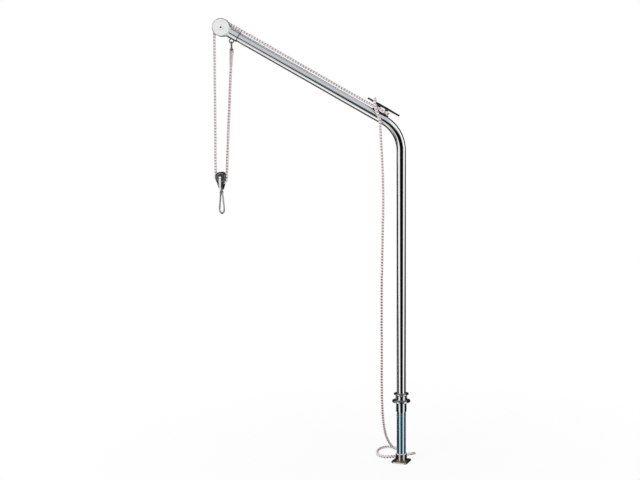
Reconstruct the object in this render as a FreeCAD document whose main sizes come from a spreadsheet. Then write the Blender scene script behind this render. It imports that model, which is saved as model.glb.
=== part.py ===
import FreeCAD, Part
import math
import os
import re

import Sketcher
from FreeCAD import Placement, Rotation, Vector

# A manual boat davit: bent tube mast in a heel socket and a deck collar, sheave head, rope tackle with a
# hook block, and a horn cleat. Millimetres, +Z up, origin at the centre of the heel plate's underside.
# The arm reaches towards -X and the front of the davit faces -Y.

SIZES = {
    # Mast tube, bent once between post and arm
    "tube_od": 40,
    "tube_wall": 2,
    "elbow_height": 1412,
    "reach": 735,
    "arm_angle": 29.6,
    "bend_radius": 145,
    # Heel plate and the barrel that the mast stands in
    "plate_side": 70,
    "plate_corner": 10,
    "plate_thickness": 6,
    "plate_turn": 20,
    "base_bolt_circle": 72,
    "base_bolt_hole": 7,
    "barrel_wall": 2.9,
    "barrel_height": 30,
    "weld_leg": 3,
    "rim_edge": 1,
    "cup_wall": 2.05,
    "cup_floor": 4,
    "cup_lip": 2,
    "running_clearance": 0.05,
    "plug_flange": 3,
    "plug_depth": 20,
    # Deck collar with its liner, and the weather ring above it
    "deck_height": 264,
    "deck_flange_od": 79,
    "deck_flange_thickness": 6,
    "deck_bolt_circle": 64,
    "deck_bolt_hole": 5.5,
    "neck_wall": 3.8,
    "neck_height": 22,
    "skirt_wall": 1.8,
    "skirt_length": 42,
    "liner_wall": 1.15,
    "liner_lip": 3,
    "lip_setback": 0.6,
    "ring_od": 65,
    "ring_thickness": 4,
    "seat_gap": 0.3,
    # Sheave head on the arm's tip
    "cheek_od": 74,
    "head_width": 30,
    "slot_width": 16,
    "slot_overrun": 1.5,
    "sleeve_wall": 2.5,
    "sleeve_end": 80,
    "neck_fillet": 15,
    "flare_length": 8,
    "socket_start": 48,
    "tube_tip": 48.5,
    "recess_od": 52,
    "recess_depth": 1,
    "head_bolt_od": 10,
    "bolt_head_od": 18,
    "bolt_head_height": 4,
    "bolt_key": 6,
    "bolt_key_depth": 2.5,
    "nut_flats": 16,
    "nut_height": 6,
    "nut_dome_height": 5,
    "bolt_reach": 8,
    "washer_od": 22,
    "washer_thickness": 0.8,
    "head_pitch": 29.5,
    "head_rim_setback": 0.5,
    "sheave_width": 14,
    "sheave_bush_wall": 3,
    "web_recess": 2,
    "hub_od": 24,
    "rim_band": 4,
    "rope_od": 12,
    "rope_clearance": 0.3,
    # Becket under the head's sleeve, with its shackle
    "becket_rod": 5,
    "becket_station": 62,
    "becket_eye_radius": 8,
    "becket_drop": 28,
    "link_gap": 0.2,
    "shackle_rod": 5,
    "shackle_bow": 9,
    "shackle_leg": 24,
    "shackle_ear_od": 11,
    "shackle_ear_width": 5.6,
    "shackle_pin_od": 5,
    "pin_head_od": 9,
    "pin_head_height": 3,
    # Horn cleat on top of the arm
    "cleat_setback": 110.3,
    "cleat_base_length": 74,
    "cleat_base_width": 22,
    "cleat_base_height": 4,
    "cleat_leg_spacing": 34,
    "cleat_leg_od": 13,
    "cleat_leg_flare": 3,
    "horn_length": 150,
    "horn_od": 10,
    "horn_tip_od": 7.2,
    "horn_end_od": 5,
    "horn_end_round": 1.8,
    "horn_height": 27,
    "cleat_screw_spacing": 59,
    "screw_head_od": 8.4,
    "screw_head_height": 2.4,
    "screw_od": 4.5,
    "screw_length": 14,
    # Hook block
    "fall_length": 612,
    "fall_knee": 80,
    "block_turn": 14,
    "block_sway": 7,
    "block_pitch": 24.3,
    "block_rim_setback": 2.3,
    "block_gap": 15,
    "block_sheave_width": 14,
    "block_cheek_width": 43,
    "block_cheek_thickness": 7,
    "block_cheek_top": 23,
    "block_cheek_bottom": 48,
    "block_cheek_toe": 9,
    "block_cheek_round": 3,
    "block_axle_od": 8,
    "block_axle_head_od": 12,
    "rivet_head_height": 2.2,
    "rivet_head_slope": 2,
    "strap_width": 9.5,
    "strap_thickness": 2,
    "strap_bridge": 3,
    "tie_drop": 37.5,
    "tie_od": 4.5,
    "tie_spacer_od": 9,
    "tie_head_od": 7,
    # Swivel eye and snap hook
    "stud_od": 7,
    "stud_head_od": 11,
    "stud_head_height": 3,
    "stud_collar_od": 11,
    "stud_collar_height": 3,
    "swivel_gap": 0.2,
    "eye_rod": 5,
    "eye_radius": 6.6,
    "eye_sink": 1.5,
    "hook_rod": 7,
    "hook_link_gap": 0.45,
    "hook_length": 94,
    "hook_width": 40,
    "hook_turn": 45,
    "stub_length": 7,
    "gate_pivot": 12,
    "gate_start": 9.4,
    "gate_end": 45,
    "nose_gap": 0.8,
    "gate_od": 6.4,
    "gate_slot": 3.8,
    "gate_slot_end": 17,
    "tongue_thickness": 3.2,
    "tongue_od": 5.6,
    "gate_rivet_od": 2.4,
    "spring_od": 3.4,
    "spring_wall": 0.6,
    "spring_length": 14,
    # Rope eye, splice and whipped end
    "eye_od": 6.4,
    "eye_leg": 10,
    "splice_length": 60,
    "splice_waist": 7.8,
    "splice_swell": 0.5,
    "whipping_length": 16,
    "whipping_od": 12.8,
}

# Places that follow from the sizes
PLACES = {
    "tube_r": "tube_od / 2",
    "tube_bore_r": "tube_od / 2 - tube_wall",
    "bearing_r": "tube_od / 2 + running_clearance",
    "head_z": "elbow_height + reach * tan(arm_angle)",
    "bend_tangent": "bend_radius * tan((90 - arm_angle) / 2)",
    "cleat_station": "reach / cos(arm_angle) - cleat_setback",
    "cup_bore_r": "tube_od / 2 + running_clearance + cup_wall",
    "barrel_r": "tube_od / 2 + running_clearance + cup_wall + barrel_wall",
    "barrel_top": "plate_thickness + barrel_height",
    "mast_foot": "plate_thickness + cup_floor",
    "tube_foot": "plate_thickness + cup_floor + plug_flange",
    "liner_r": "tube_od / 2 + running_clearance + liner_wall",
    "neck_r": "tube_od / 2 + running_clearance + liner_wall + neck_wall",
    "skirt_r": "tube_od / 2 + running_clearance + liner_wall + skirt_wall",
    "skirt_bottom": "deck_height - skirt_length",
    "deck_top": "deck_height + deck_flange_thickness",
    "neck_top": "deck_height + deck_flange_thickness + neck_height",
    "ring_z": "deck_height + deck_flange_thickness + neck_height + liner_lip + seat_gap",
    "cheek_r": "cheek_od / 2",
    "head_rim": "head_pitch - head_rim_setback",
    "block_rim": "block_pitch - block_rim_setback",
    "sleeve_r": "tube_od / 2 + sleeve_wall",
    "cheek_face": "head_width / 2 - recess_depth",
    "sheave_bush_r": "head_bolt_od / 2 + running_clearance + sheave_bush_wall",
    "block_bush_r": "block_axle_od / 2 + running_clearance + sheave_bush_wall",
    "becket_x": "becket_station * cos(arm_angle) - becket_drop * sin(arm_angle) - reach",
    "pin_drop": "shackle_bow + shackle_leg",
    "block_x": "block_pitch - head_pitch - reach - block_sway",
    "strap_r": "block_gap / 2 + block_cheek_thickness + strap_thickness",
    "bridge_top": "-block_cheek_bottom - seat_gap",
}

# Places that build on those
STATIONS = {
    "neck_end": "sqrt((cheek_r + neck_fillet)^2 - (sleeve_r + neck_fillet)^2)",
    "neck_half": "cheek_r * (sleeve_r + neck_fillet) / (cheek_r + neck_fillet)",
    "becket_z": "head_z - becket_station * sin(arm_angle) - becket_drop * cos(arm_angle)",
    "block_z": "head_z - fall_length",
    "bridge_bottom": "bridge_top - strap_bridge",
}

# Places that build on both
LINKS = {
    "bow_top": "becket_z - becket_eye_radius + becket_rod / 2 + link_gap + shackle_rod / 2",
    "eye_centre": "bridge_bottom - swivel_gap - stud_collar_height + eye_sink - eye_radius - eye_rod / 2",
}

doc = FreeCAD.newDocument("DavitCrane")


def sheet(name, rows):
    """A spreadsheet with one aliased cell for each row."""
    made = doc.addObject("Spreadsheet::Sheet", name)
    for row, (alias, text) in enumerate(rows.items(), start=1):
        cell = "A%d" % row
        made.set(cell, text)
        made.setAlias(cell, alias)
    doc.recompute()
    return made


def formula(text):
    """The expression in which each size is led to its own sheet."""

    def led(match):
        word = match.group(0)
        for name, rows in SHEETS.items():
            if word in rows:
                return name + "." + word
        return word

    return re.sub(r"[a-z][a-z_]*", led, text)


SHEETS = {"Sizes": SIZES, "Places": PLACES, "Stations": STATIONS, "Links": LINKS}
BOOKS = [sheet("Sizes", {alias: str(value) for alias, value in SIZES.items()})]
for book_name in ("Places", "Stations", "Links"):
    BOOKS.append(sheet(book_name, {a: "=" + formula(t) for a, t in SHEETS[book_name].items()}))


def size(alias):
    """A value read from the sheets, for shapes that are made directly."""
    for book, rows in zip(BOOKS, SHEETS.values()):
        if alias in rows:
            return float(book.get(alias))
    raise KeyError(alias)


X_AXIS = Vector(1, 0, 0)
Y_AXIS = Vector(0, 1, 0)
Z_AXIS = Vector(0, 0, 1)
ALONG_X = Rotation(Y_AXIS, 90)
ALONG_Y = Rotation(X_AXIS, -90)
FULL_TURN = 360
FLAT = 1e-6
HALF_TURN = 180


def bind(thing, **formulas):
    """Binds the thing's properties to expressions on the sheets."""
    for name, text in formulas.items():
        thing.setExpression(name, formula(text))
    return thing


def place(thing, x="0", y="0", z="0", rotation=None):
    """Puts the thing at a bound place, with a fixed rotation."""
    if rotation is not None:
        thing.Placement = Placement(Vector(), rotation)
    for letter, text in zip("xyz", (x, y, z)):
        if text != "0":
            thing.setExpression("Placement.Base." + letter, formula(text))
    return thing


def turn(thing, axis, angle, x="0", y="0", z="0"):
    """Puts the thing at a bound place, turned by a bound angle."""
    thing.Placement = Placement(Vector(), Rotation(axis, 1))
    thing.setExpression("Placement.Rotation.Angle", formula(angle))
    return place(thing, x, y, z)


def on_arm(thing):
    """The arm's frame: origin on the head's axle, +X down the arm, +Z square to it."""
    return turn(thing, Y_AXIS, "arm_angle", x="-reach", z="head_z")


def at_head(thing):
    """Axle frame of the head: the thing's own +Z along the davit's +Y."""
    return place(thing, x="-reach", z="head_z", rotation=ALONG_Y)


def block_rotation(inner=Rotation()):
    """The block hangs turned about the plumb line, as the rope's twist leaves it."""
    return Rotation(Z_AXIS, -size("block_turn")).multiply(inner)


def at_block(thing, rotation=Rotation()):
    """The block's frame: origin on the block's axle."""
    return place(thing, x="block_x", z="block_z", rotation=block_rotation(rotation))


def cylinder(name, radius, height, **where):
    made = bind(doc.addObject("Part::Cylinder", name), Radius=radius, Height=height)
    return place(made, **where)


def cone(name, lower, upper, height, **where):
    made = bind(doc.addObject("Part::Cone", name), Radius1=lower, Radius2=upper, Height=height)
    return place(made, **where)


def box(name, length, width, height, **where):
    made = bind(doc.addObject("Part::Box", name), Length=length, Width=width, Height=height)
    return place(made, **where)


def ring(name, radius, rod, sweep=FULL_TURN, **where):
    """A torus of rod section, whole or part of the way round."""
    made = bind(doc.addObject("Part::Torus", name), Radius1=radius, Radius2=rod)
    made.Angle3 = sweep
    return place(made, **where)


def hexagon(name, flats, height, **where):
    made = doc.addObject("Part::Prism", name)
    made.Polygon = 6
    bind(made, Circumradius="(%s) / sqrt(3)" % flats, Height=height)
    return place(made, **where)


def fuse(name, *shapes):
    made = doc.addObject("Part::MultiFuse", name)
    made.Shapes = list(shapes)
    made.Refine = True
    return made


def cut(name, base, *tools):
    made = doc.addObject("Part::Cut", name)
    made.Base = base
    made.Tool = tools[0] if len(tools) == 1 else fuse(name + "_tools", *tools)
    return made


def plane(body, role):
    """One of the body's own origin planes."""
    return next(part for part in body.Origin.OriginFeatures if part.Role == role)


def sketch_on(body, role, name):
    made = body.newObject("Sketcher::SketchObject", name)
    made.AttachmentSupport = [(plane(body, role), "")]
    made.MapMode = "FlatFace"
    return made


def pin_point(sketch, geometry, point, x, y):
    """Holds a sketch point at bound coordinates from the sketch's origin."""
    for kind, axis, text in (("DistanceX", -2, x), ("DistanceY", -1, y)):
        if text == "0":
            sketch.addConstraint(Sketcher.Constraint("PointOnObject", geometry, point, axis))
        else:
            row = sketch.addConstraint(Sketcher.Constraint(kind, -1, 1, geometry, point, 1.0))
            sketch.setExpression("Constraints[%d]" % row, formula(text))


def polygon(sketch, corners):
    """A closed outline whose corners are held at bound coordinates."""
    count = len(corners)
    step = 2 * math.pi / count
    rough = [Vector(math.cos(k * step), math.sin(k * step)) for k in range(count)]
    for k in range(count):
        sketch.addGeometry(Part.LineSegment(rough[k], rough[(k + 1) % count]))
    for k in range(count):
        sketch.addConstraint(Sketcher.Constraint("Coincident", k, 2, (k + 1) % count, 1))
    for k, (x, y) in enumerate(corners):
        pin_point(sketch, k, 1, x, y)


def circle(sketch, radius, x="0", y="0"):
    """A circle of bound radius at bound coordinates."""
    made = sketch.addGeometry(Part.Circle(Vector(1, 1, 0), Z_AXIS, 1.0))
    row = sketch.addConstraint(Sketcher.Constraint("Radius", made, 1.0))
    sketch.setExpression("Constraints[%d]" % row, formula(radius))
    pin_point(sketch, made, 3, x, y)


def revolve(body, name, corners):
    """Adds a solid of revolution about the body's Z axis, through corners of radius and height."""
    profile = sketch_on(body, "XZ_Plane", name + "_profile")
    polygon(profile, corners)
    made = body.newObject("PartDesign::Revolution", name)
    made.Profile = profile
    made.ReferenceAxis = (profile, ["V_Axis"])
    made.Angle = FULL_TURN
    return made


def turned(name, corners):
    """A turned body about Z."""
    body = doc.addObject("PartDesign::Body", name)
    revolve(body, name + "_turning", corners)
    return body


def bolt_holes(body, name, hole, x, y, count):
    """Through holes in a circle round Z, cut upwards from the body's XY plane."""
    sketch = sketch_on(body, "XY_Plane", name + "_place")
    circle(sketch, hole + " / 2", x, y)
    pocket = body.newObject("PartDesign::Pocket", name)
    pocket.Profile = sketch
    pocket.Type = "ThroughAll"
    pocket.Reversed = True
    doc.recompute()
    pattern = body.newObject("PartDesign::PolarPattern", name + "_circle")
    pattern.Originals = [pocket]
    pattern.Axis = (sketch, ["N_Axis"])
    pattern.Angle = FULL_TURN
    pattern.Occurrences = count
    body.Tip = pattern
    return body


NODES = {}


def node(name, thing):
    """Names a finished sub-part, and with it the file that it is written to."""
    thing.Label = name
    NODES[name] = thing
    return thing


BOLT_COUNT = 4


def base_socket():
    """Heel plate with rounded corners, welded barrel and four bolt holes on the plate's diagonals."""
    body = doc.addObject("PartDesign::Body", "base_socket_body")
    outline = sketch_on(body, "XY_Plane", "plate_outline")
    half = "plate_side / 2"
    polygon(outline, [(half, half), ("-" + half, half), ("-" + half, "-" + half), (half, "-" + half)])
    plate = body.newObject("PartDesign::Pad", "plate")
    plate.Profile = outline
    bind(plate, Length="plate_thickness")
    doc.recompute()
    upright = [
        "Edge%d" % number
        for number, edge in enumerate(plate.Shape.Edges, start=1)
        if edge.tangentAt(edge.FirstParameter).cross(Z_AXIS).Length < FLAT
    ]
    corners = body.newObject("PartDesign::Fillet", "plate_corners")
    corners.Base = (plate, upright)
    bind(corners, Radius="plate_corner")
    doc.recompute()
    revolve(body, "barrel", [
        ("cup_bore_r", "plate_thickness"),
        ("barrel_r + weld_leg", "plate_thickness"),
        ("barrel_r", "plate_thickness + weld_leg"),
        ("barrel_r", "barrel_top - rim_edge"),
        ("barrel_r - rim_edge", "barrel_top"),
        ("cup_bore_r", "barrel_top"),
    ])
    doc.recompute()
    diagonal = "base_bolt_circle / 2 * sqrt(0.5)"
    bolt_holes(body, "base_holes", "base_bolt_hole", diagonal, diagonal, BOLT_COUNT)
    return turn(body, Vector(0, 0, -1), "plate_turn")


def heel_bush():
    """Nylon cup: floor under the mast, bearing wall and lip."""
    return turned("heel_bush_body", [
        ("0", "plate_thickness"),
        ("cup_bore_r", "plate_thickness"),
        ("cup_bore_r", "barrel_top"),
        ("barrel_r - rim_edge - lip_setback", "barrel_top"),
        ("barrel_r - rim_edge - lip_setback", "barrel_top + cup_lip"),
        ("bearing_r", "barrel_top + cup_lip"),
        ("bearing_r", "mast_foot"),
        ("0", "mast_foot"),
    ])


def deck_collar():
    """Deck flange with neck, skirt and four screw holes."""
    body = turned("deck_collar_body", [
        ("liner_r", "skirt_bottom"),
        ("skirt_r", "skirt_bottom"),
        ("skirt_r", "deck_height"),
        ("deck_flange_od / 2", "deck_height"),
        ("deck_flange_od / 2", "deck_top - 2 * rim_edge"),
        ("deck_flange_od / 2 - 2 * rim_edge", "deck_top"),
        ("neck_r + weld_leg", "deck_top"),
        ("neck_r", "deck_top + weld_leg"),
        ("neck_r", "neck_top - rim_edge"),
        ("neck_r - rim_edge", "neck_top"),
        ("liner_r", "neck_top"),
    ])
    doc.recompute()
    return bolt_holes(body, "deck_holes", "deck_bolt_hole", "deck_bolt_circle / 2", "0", BOLT_COUNT)


def deck_bush():
    """Nylon liner of the collar, with a lip on the neck."""
    return turned("deck_bush_body", [
        ("bearing_r", "skirt_bottom"),
        ("liner_r", "skirt_bottom"),
        ("liner_r", "neck_top"),
        ("neck_r - rim_edge - lip_setback", "neck_top"),
        ("neck_r - rim_edge - lip_setback", "neck_top + liner_lip"),
        ("bearing_r", "neck_top + liner_lip"),
    ])


def mast_tube():
    """One tube bent between post and arm, drilled for the cleat's screws."""
    body = doc.addObject("PartDesign::Body", "mast_pipe")
    angle = math.radians(size("arm_angle"))
    tangent = size("bend_tangent")
    elbow = size("elbow_height")
    radius = size("bend_radius")
    foot = Vector(0, size("tube_foot"), 0)
    post_top = Vector(0, elbow - tangent, 0)
    arm_foot = Vector(-tangent * math.cos(angle), elbow + tangent * math.sin(angle), 0)
    run = size("tube_tip")
    arm_tip = Vector(run * math.cos(angle) - size("reach"), size("head_z") - run * math.sin(angle), 0)
    centre = Vector(-radius, elbow - tangent, 0)
    path = sketch_on(body, "XZ_Plane", "mast_path")
    post = path.addGeometry(Part.LineSegment(foot, post_top))
    whole = Part.Circle(centre, Z_AXIS, radius)
    bend = path.addGeometry(Part.ArcOfCircle(whole, 0, math.pi / 2 - angle))
    arm = path.addGeometry(Part.LineSegment(arm_foot, arm_tip))
    path.addConstraint(Sketcher.Constraint("Vertical", post))
    pin_point(path, post, 1, "0", "tube_foot")
    path.addConstraint(Sketcher.Constraint("Tangent", post, 2, bend, 1))
    path.addConstraint(Sketcher.Constraint("Tangent", bend, 2, arm, 1))
    pin_point(path, arm, 1, "-bend_tangent * cos(arm_angle)", "elbow_height + bend_tangent * sin(arm_angle)")
    pin_point(path, arm, 2, "tube_tip * cos(arm_angle) - reach", "head_z - tube_tip * sin(arm_angle)")
    section = sketch_on(body, "XY_Plane", "mast_section")
    section.setExpression("AttachmentOffset.Base.z", formula("tube_foot"))
    circle(section, "tube_r")
    circle(section, "tube_bore_r")
    doc.recompute()
    pipe = body.newObject("PartDesign::AdditivePipe", "mast_sweep")
    pipe.Profile = section
    pipe.Spine = (path, ["Edge1", "Edge2", "Edge3"])
    doc.recompute()
    holes = on_arm(fuse("cleat_drillings", *[
        cylinder("cleat_drilling_%d" % k, "screw_od / 2", "tube_od", x=x, z="0")
        for k, x in enumerate(SCREW_PLACES)
    ]))
    return cut("mast_drilled", body, holes)


SCREW_PLACES = ["cleat_station - cleat_screw_spacing / 2", "cleat_station + cleat_screw_spacing / 2"]


def heel_plug():
    """Plug in the lower tube end, whose flange turns on the cup's floor."""
    return turned("heel_plug_body", [
        ("0", "mast_foot"),
        ("tube_r - rim_edge", "mast_foot"),
        ("tube_r", "mast_foot + rim_edge"),
        ("tube_r", "tube_foot"),
        ("tube_bore_r", "tube_foot"),
        ("tube_bore_r", "tube_foot + plug_depth"),
        ("0", "tube_foot + plug_depth"),
    ])


def weather_ring():
    """Thin ring welded round the post, over the collar's liner."""
    return turned("weather_ring_body", [
        ("tube_r", "ring_z"),
        ("ring_od / 2 - rim_edge", "ring_z"),
        ("ring_od / 2", "ring_z + rim_edge"),
        ("ring_od / 2", "ring_z + ring_thickness - rim_edge"),
        ("ring_od / 2 - rim_edge", "ring_z + ring_thickness"),
        ("tube_r + weld_leg", "ring_z + ring_thickness"),
        ("tube_r", "ring_z + ring_thickness + weld_leg"),
    ])


def head_casting():
    """Fork with two round cheeks, hollowed necks and a sleeve over the arm's end."""
    front = "-head_width / 2"
    disc = cylinder("cheek_disc", "cheek_r", "head_width", y=front, rotation=ALONG_Y)
    block = box("neck_block", "neck_end", "head_width", "2 * neck_half", y=front, z="-neck_half")
    scoop_drop = "sleeve_r + neck_fillet"
    scoops = [
        cylinder("neck_scoop_%d" % k, "neck_fillet", "head_width",
                 x="neck_end", y=front, z=z, rotation=ALONG_Y)
        for k, z in enumerate((scoop_drop, "-(%s)" % scoop_drop))
    ]
    neck = cut("neck", block, *scoops)
    flare = cone("flare", "head_width / 2", "sleeve_r", "flare_length",
                 x="neck_end - flare_length", rotation=ALONG_X)
    sleeve = cylinder("sleeve", "sleeve_r", "sleeve_end - neck_end", x="neck_end", rotation=ALONG_X)
    slot = cylinder("slot", "cheek_r + slot_overrun", "slot_width", y="-slot_width / 2", rotation=ALONG_Y)
    bore = cylinder("tube_socket", "tube_r", "sleeve_end - socket_start", x="socket_start", rotation=ALONG_X)
    dishes = [
        cylinder("cheek_dish_%d" % k, "recess_od / 2", "recess_depth", y=y, rotation=ALONG_Y)
        for k, y in enumerate((front, "cheek_face"))
    ]
    hole = cylinder("axle_hole", "head_bolt_od / 2", "head_width", y=front, rotation=ALONG_Y)
    body = fuse("head_body", disc, neck, flare, sleeve)
    return on_arm(cut("head_fork", body, slot, bore, hole, *dishes))


def head_axle_bolt():
    """Axle bolt with a button head and hexagon socket on the front cheek."""
    head_end = "-cheek_face - bolt_head_height"
    shank = turned("head_bolt_body", [
        ("0", head_end),
        ("bolt_head_od / 2 - 2 * rim_edge", head_end),
        ("bolt_head_od / 2", "2 * rim_edge - cheek_face - bolt_head_height"),
        ("bolt_head_od / 2", "-cheek_face"),
        ("head_bolt_od / 2", "-cheek_face"),
        ("head_bolt_od / 2", "cheek_face + bolt_reach"),
        ("0", "cheek_face + bolt_reach"),
    ])
    key = hexagon("bolt_socket", "bolt_key", "bolt_key_depth", z=head_end)
    return at_head(cut("head_bolt", shank, key))


def head_axle_nut():
    """Domed nut on the rear cheek."""
    flats = hexagon("nut_flats_prism", "nut_flats", "nut_height", z="cheek_face")
    dome = turned("nut_dome", [
        ("0", "cheek_face + nut_height"),
        ("nut_flats / 2 - rim_edge", "cheek_face + nut_height"),
        ("nut_flats / 2 - 2 * rim_edge", "cheek_face + nut_height + nut_dome_height / 2"),
        ("nut_flats / 4", "cheek_face + nut_height + nut_dome_height"),
        ("0", "cheek_face + nut_height + nut_dome_height"),
    ])
    thread = cylinder("nut_bore", "head_bolt_od / 2", "bolt_reach", z="cheek_face")
    return at_head(cut("head_nut", fuse("nut_body", flats, dome), thread))


def annulus(name, outer, inner, width, z):
    """A flat ring about Z."""
    plug = cylinder(name + "_hole", inner, width, z=z)
    return cut(name, cylinder(name + "_disc", outer, width, z=z), plug)


def head_washers():
    """Thrust washers between the cheeks and the sheave."""
    seats = ("-slot_width / 2", "slot_width / 2 - washer_thickness")
    pair = [
        annulus("head_washer_%d" % k, "washer_od / 2", "head_bolt_od / 2", "washer_thickness", z)
        for k, z in enumerate(seats)
    ]
    return at_head(fuse("head_washer_pair", *pair))


def sheave(name, pitch, rim, width, bore):
    """Grooved wheel about Z, whose rim stays inside the rope's centre line."""
    half = "%s / 2" % width
    wheel = cylinder(name + "_blank", rim, width, z="-" + half)
    groove = ring(name + "_groove", pitch, "rope_od / 2 + rope_clearance")
    hole = cylinder(name + "_bore", bore, width, z="-" + half)
    return cut(name, wheel, groove, hole)


def head_sheave():
    """Grooved wheel of the head, thinned between hub and rim."""
    wheel = sheave("head_wheel", "head_pitch", "head_rim", "sheave_width", "sheave_bush_r")
    inner = "hub_od / 2"
    outer = "head_rim - rim_band - rope_od / 2"
    seats = ("-sheave_width / 2", "sheave_width / 2 - web_recess")
    webs = [annulus("web_%d" % k, outer, inner, "web_recess", z) for k, z in enumerate(seats)]
    return at_head(cut("head_sheave_wheel", wheel, *webs))


def head_sheave_bush():
    """Bronze bush between sheave and bolt."""
    inner = "head_bolt_od / 2 + running_clearance"
    return at_head(annulus("head_bush", "sheave_bush_r", inner, "sheave_width", "-sheave_width / 2"))


def becket_eye():
    """Rod loop welded under the sleeve."""
    legs = [
        cylinder("becket_leg_%d" % k, "becket_rod / 2", "becket_drop", x=x, z="-becket_drop")
        for k, x in enumerate(("becket_station - becket_eye_radius", "becket_station + becket_eye_radius"))
    ]
    where = {"x": "becket_station", "z": "-becket_drop", "rotation": ALONG_Y}
    bow = ring("becket_bow", "becket_eye_radius", "becket_rod / 2", HALF_TURN, **where)
    sleeve = cylinder("becket_seat", "sleeve_r", "sleeve_end", rotation=ALONG_X)
    return on_arm(cut("becket_loop", fuse("becket_rods", bow, *legs), sleeve))


def at_shackle(thing):
    """The shackle's frame: origin on its pin, hanging plumb in the becket."""
    return place(thing, x="becket_x", z="bow_top - pin_drop")


def becket_shackle():
    """Bow shackle across the becket, its pin along Y."""
    across = Rotation(Y_AXIS, 90).multiply(Rotation(Z_AXIS, 90))
    bow = ring("shackle_arch", "shackle_bow", "shackle_rod / 2", HALF_TURN, z="shackle_leg", rotation=across)
    sides = ("-shackle_bow", "shackle_bow")
    legs = [
        cylinder("shackle_leg_%d" % k, "shackle_rod / 2", "shackle_leg", y=y)
        for k, y in enumerate(sides)
    ]
    ears = [
        cylinder("shackle_ear_%d" % k, "shackle_ear_od / 2", "shackle_ear_width",
                 y=y + " - shackle_ear_width / 2", rotation=ALONG_Y)
        for k, y in enumerate(sides)
    ]
    span = "shackle_bow + shackle_rod"
    hole = cylinder("shackle_hole", "shackle_pin_od / 2", "2 * (%s)" % span,
                    y="-(%s)" % span, rotation=ALONG_Y)
    return at_shackle(cut("shackle", fuse("shackle_bar", bow, *(legs + ears)), hole))


def becket_shackle_pin():
    """Pin of the shackle, its head at the front."""
    side = "(shackle_bow + shackle_ear_width / 2)"
    pin = turned("shackle_pin_body", [
        ("0", "-%s - pin_head_height" % side),
        ("pin_head_od / 2 - rim_edge / 2", "-%s - pin_head_height" % side),
        ("pin_head_od / 2", "-%s - pin_head_height + rim_edge / 2" % side),
        ("pin_head_od / 2", "-" + side),
        ("shackle_pin_od / 2", "-" + side),
        ("shackle_pin_od / 2", side + " + rim_edge"),
        ("0", side + " + rim_edge"),
    ])
    return place(pin, x="becket_x", z="bow_top - pin_drop", rotation=ALONG_Y)


def horn_cleat():
    """Two-legged horn cleat with a saddle foot, screwed to the arm."""
    flat = "cleat_base_length - cleat_base_width"
    rise = "tube_wall + cleat_base_height"
    low = "tube_r - tube_wall"
    ends = ["cleat_station - (%s) / 2" % flat, "cleat_station + (%s) / 2" % flat]
    slab = box("cleat_slab", flat, "cleat_base_width", rise, x=ends[0], y="-cleat_base_width / 2", z=low)
    toes = [
        cylinder("cleat_toe_%d" % k, "cleat_base_width / 2", rise, x=x, z=low)
        for k, x in enumerate(ends)
    ]
    leg_places = ["cleat_station - cleat_leg_spacing / 2", "cleat_station + cleat_leg_spacing / 2"]
    foot = "tube_r + cleat_base_height"
    legs = [
        cylinder("cleat_leg_%d" % k, "cleat_leg_od / 2", "horn_height - cleat_base_height", x=x, z=foot)
        for k, x in enumerate(leg_places)
    ]
    flares = [
        cone("cleat_flare_%d" % k, "(cleat_leg_od + cleat_leg_flare) / 2", "cleat_leg_od / 2",
             "cleat_leg_flare", x=x, z=foot)
        for k, x in enumerate(leg_places)
    ]
    tip = "horn_tip_od / 2"
    bar = turned("horn_bar", [
        ("0", "-horn_length / 2"),
        ("horn_end_od / 2", "-horn_length / 2"),
        (tip, "horn_end_round - horn_length / 2"),
        ("horn_od / 2", "-cleat_leg_spacing / 2"),
        ("horn_od / 2", "cleat_leg_spacing / 2"),
        (tip, "horn_length / 2 - horn_end_round"),
        ("horn_end_od / 2", "horn_length / 2"),
        ("0", "horn_length / 2"),
    ])
    place(bar, x="cleat_station", z="tube_r + horn_height", rotation=ALONG_X)
    seat = cylinder("cleat_saddle", "tube_r", "cleat_base_length", x="cleat_station - cleat_base_length / 2",
                    rotation=ALONG_X)
    sinks = [
        cone("cleat_sink_%d" % k, "screw_od / 2", "screw_head_od / 2", "screw_head_height",
             x=x, z=foot + " - screw_head_height")
        for k, x in enumerate(SCREW_PLACES)
    ]
    bores = [
        cylinder("cleat_bore_%d" % k, "screw_od / 2", rise, x=x, z=low)
        for k, x in enumerate(SCREW_PLACES)
    ]
    solid = fuse("cleat_body", slab, bar, *(toes + legs + flares))
    return on_arm(cut("cleat", solid, seat, *(sinks + bores)))


def cleat_screws():
    """Two countersunk screws through the cleat's foot and the tube's wall."""
    parts = []
    top = "tube_r + cleat_base_height"
    for k, x in enumerate(SCREW_PLACES):
        head = cone("screw_head_%d" % k, "screw_od / 2", "screw_head_od / 2", "screw_head_height",
                    x=x, z=top + " - screw_head_height")
        shank = cylinder("screw_shank_%d" % k, "screw_od / 2", "screw_length - screw_head_height",
                         x=x, z=top + " - screw_length")
        parts += [head, shank]
    return on_arm(fuse("cleat_screw_pair", *parts))


def pin_across(radius, width, centre):
    """A cylinder along Y, centred on the stated point."""
    return Part.makeCylinder(radius, width, centre - Y_AXIS * (width / 2), Y_AXIS)


def block_point(x, z):
    """A point of the block's sheave plane in the davit's frame."""
    return Vector(size("block_x"), 0, size("block_z") + z) + block_rotation().multVec(X_AXIS) * x


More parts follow.
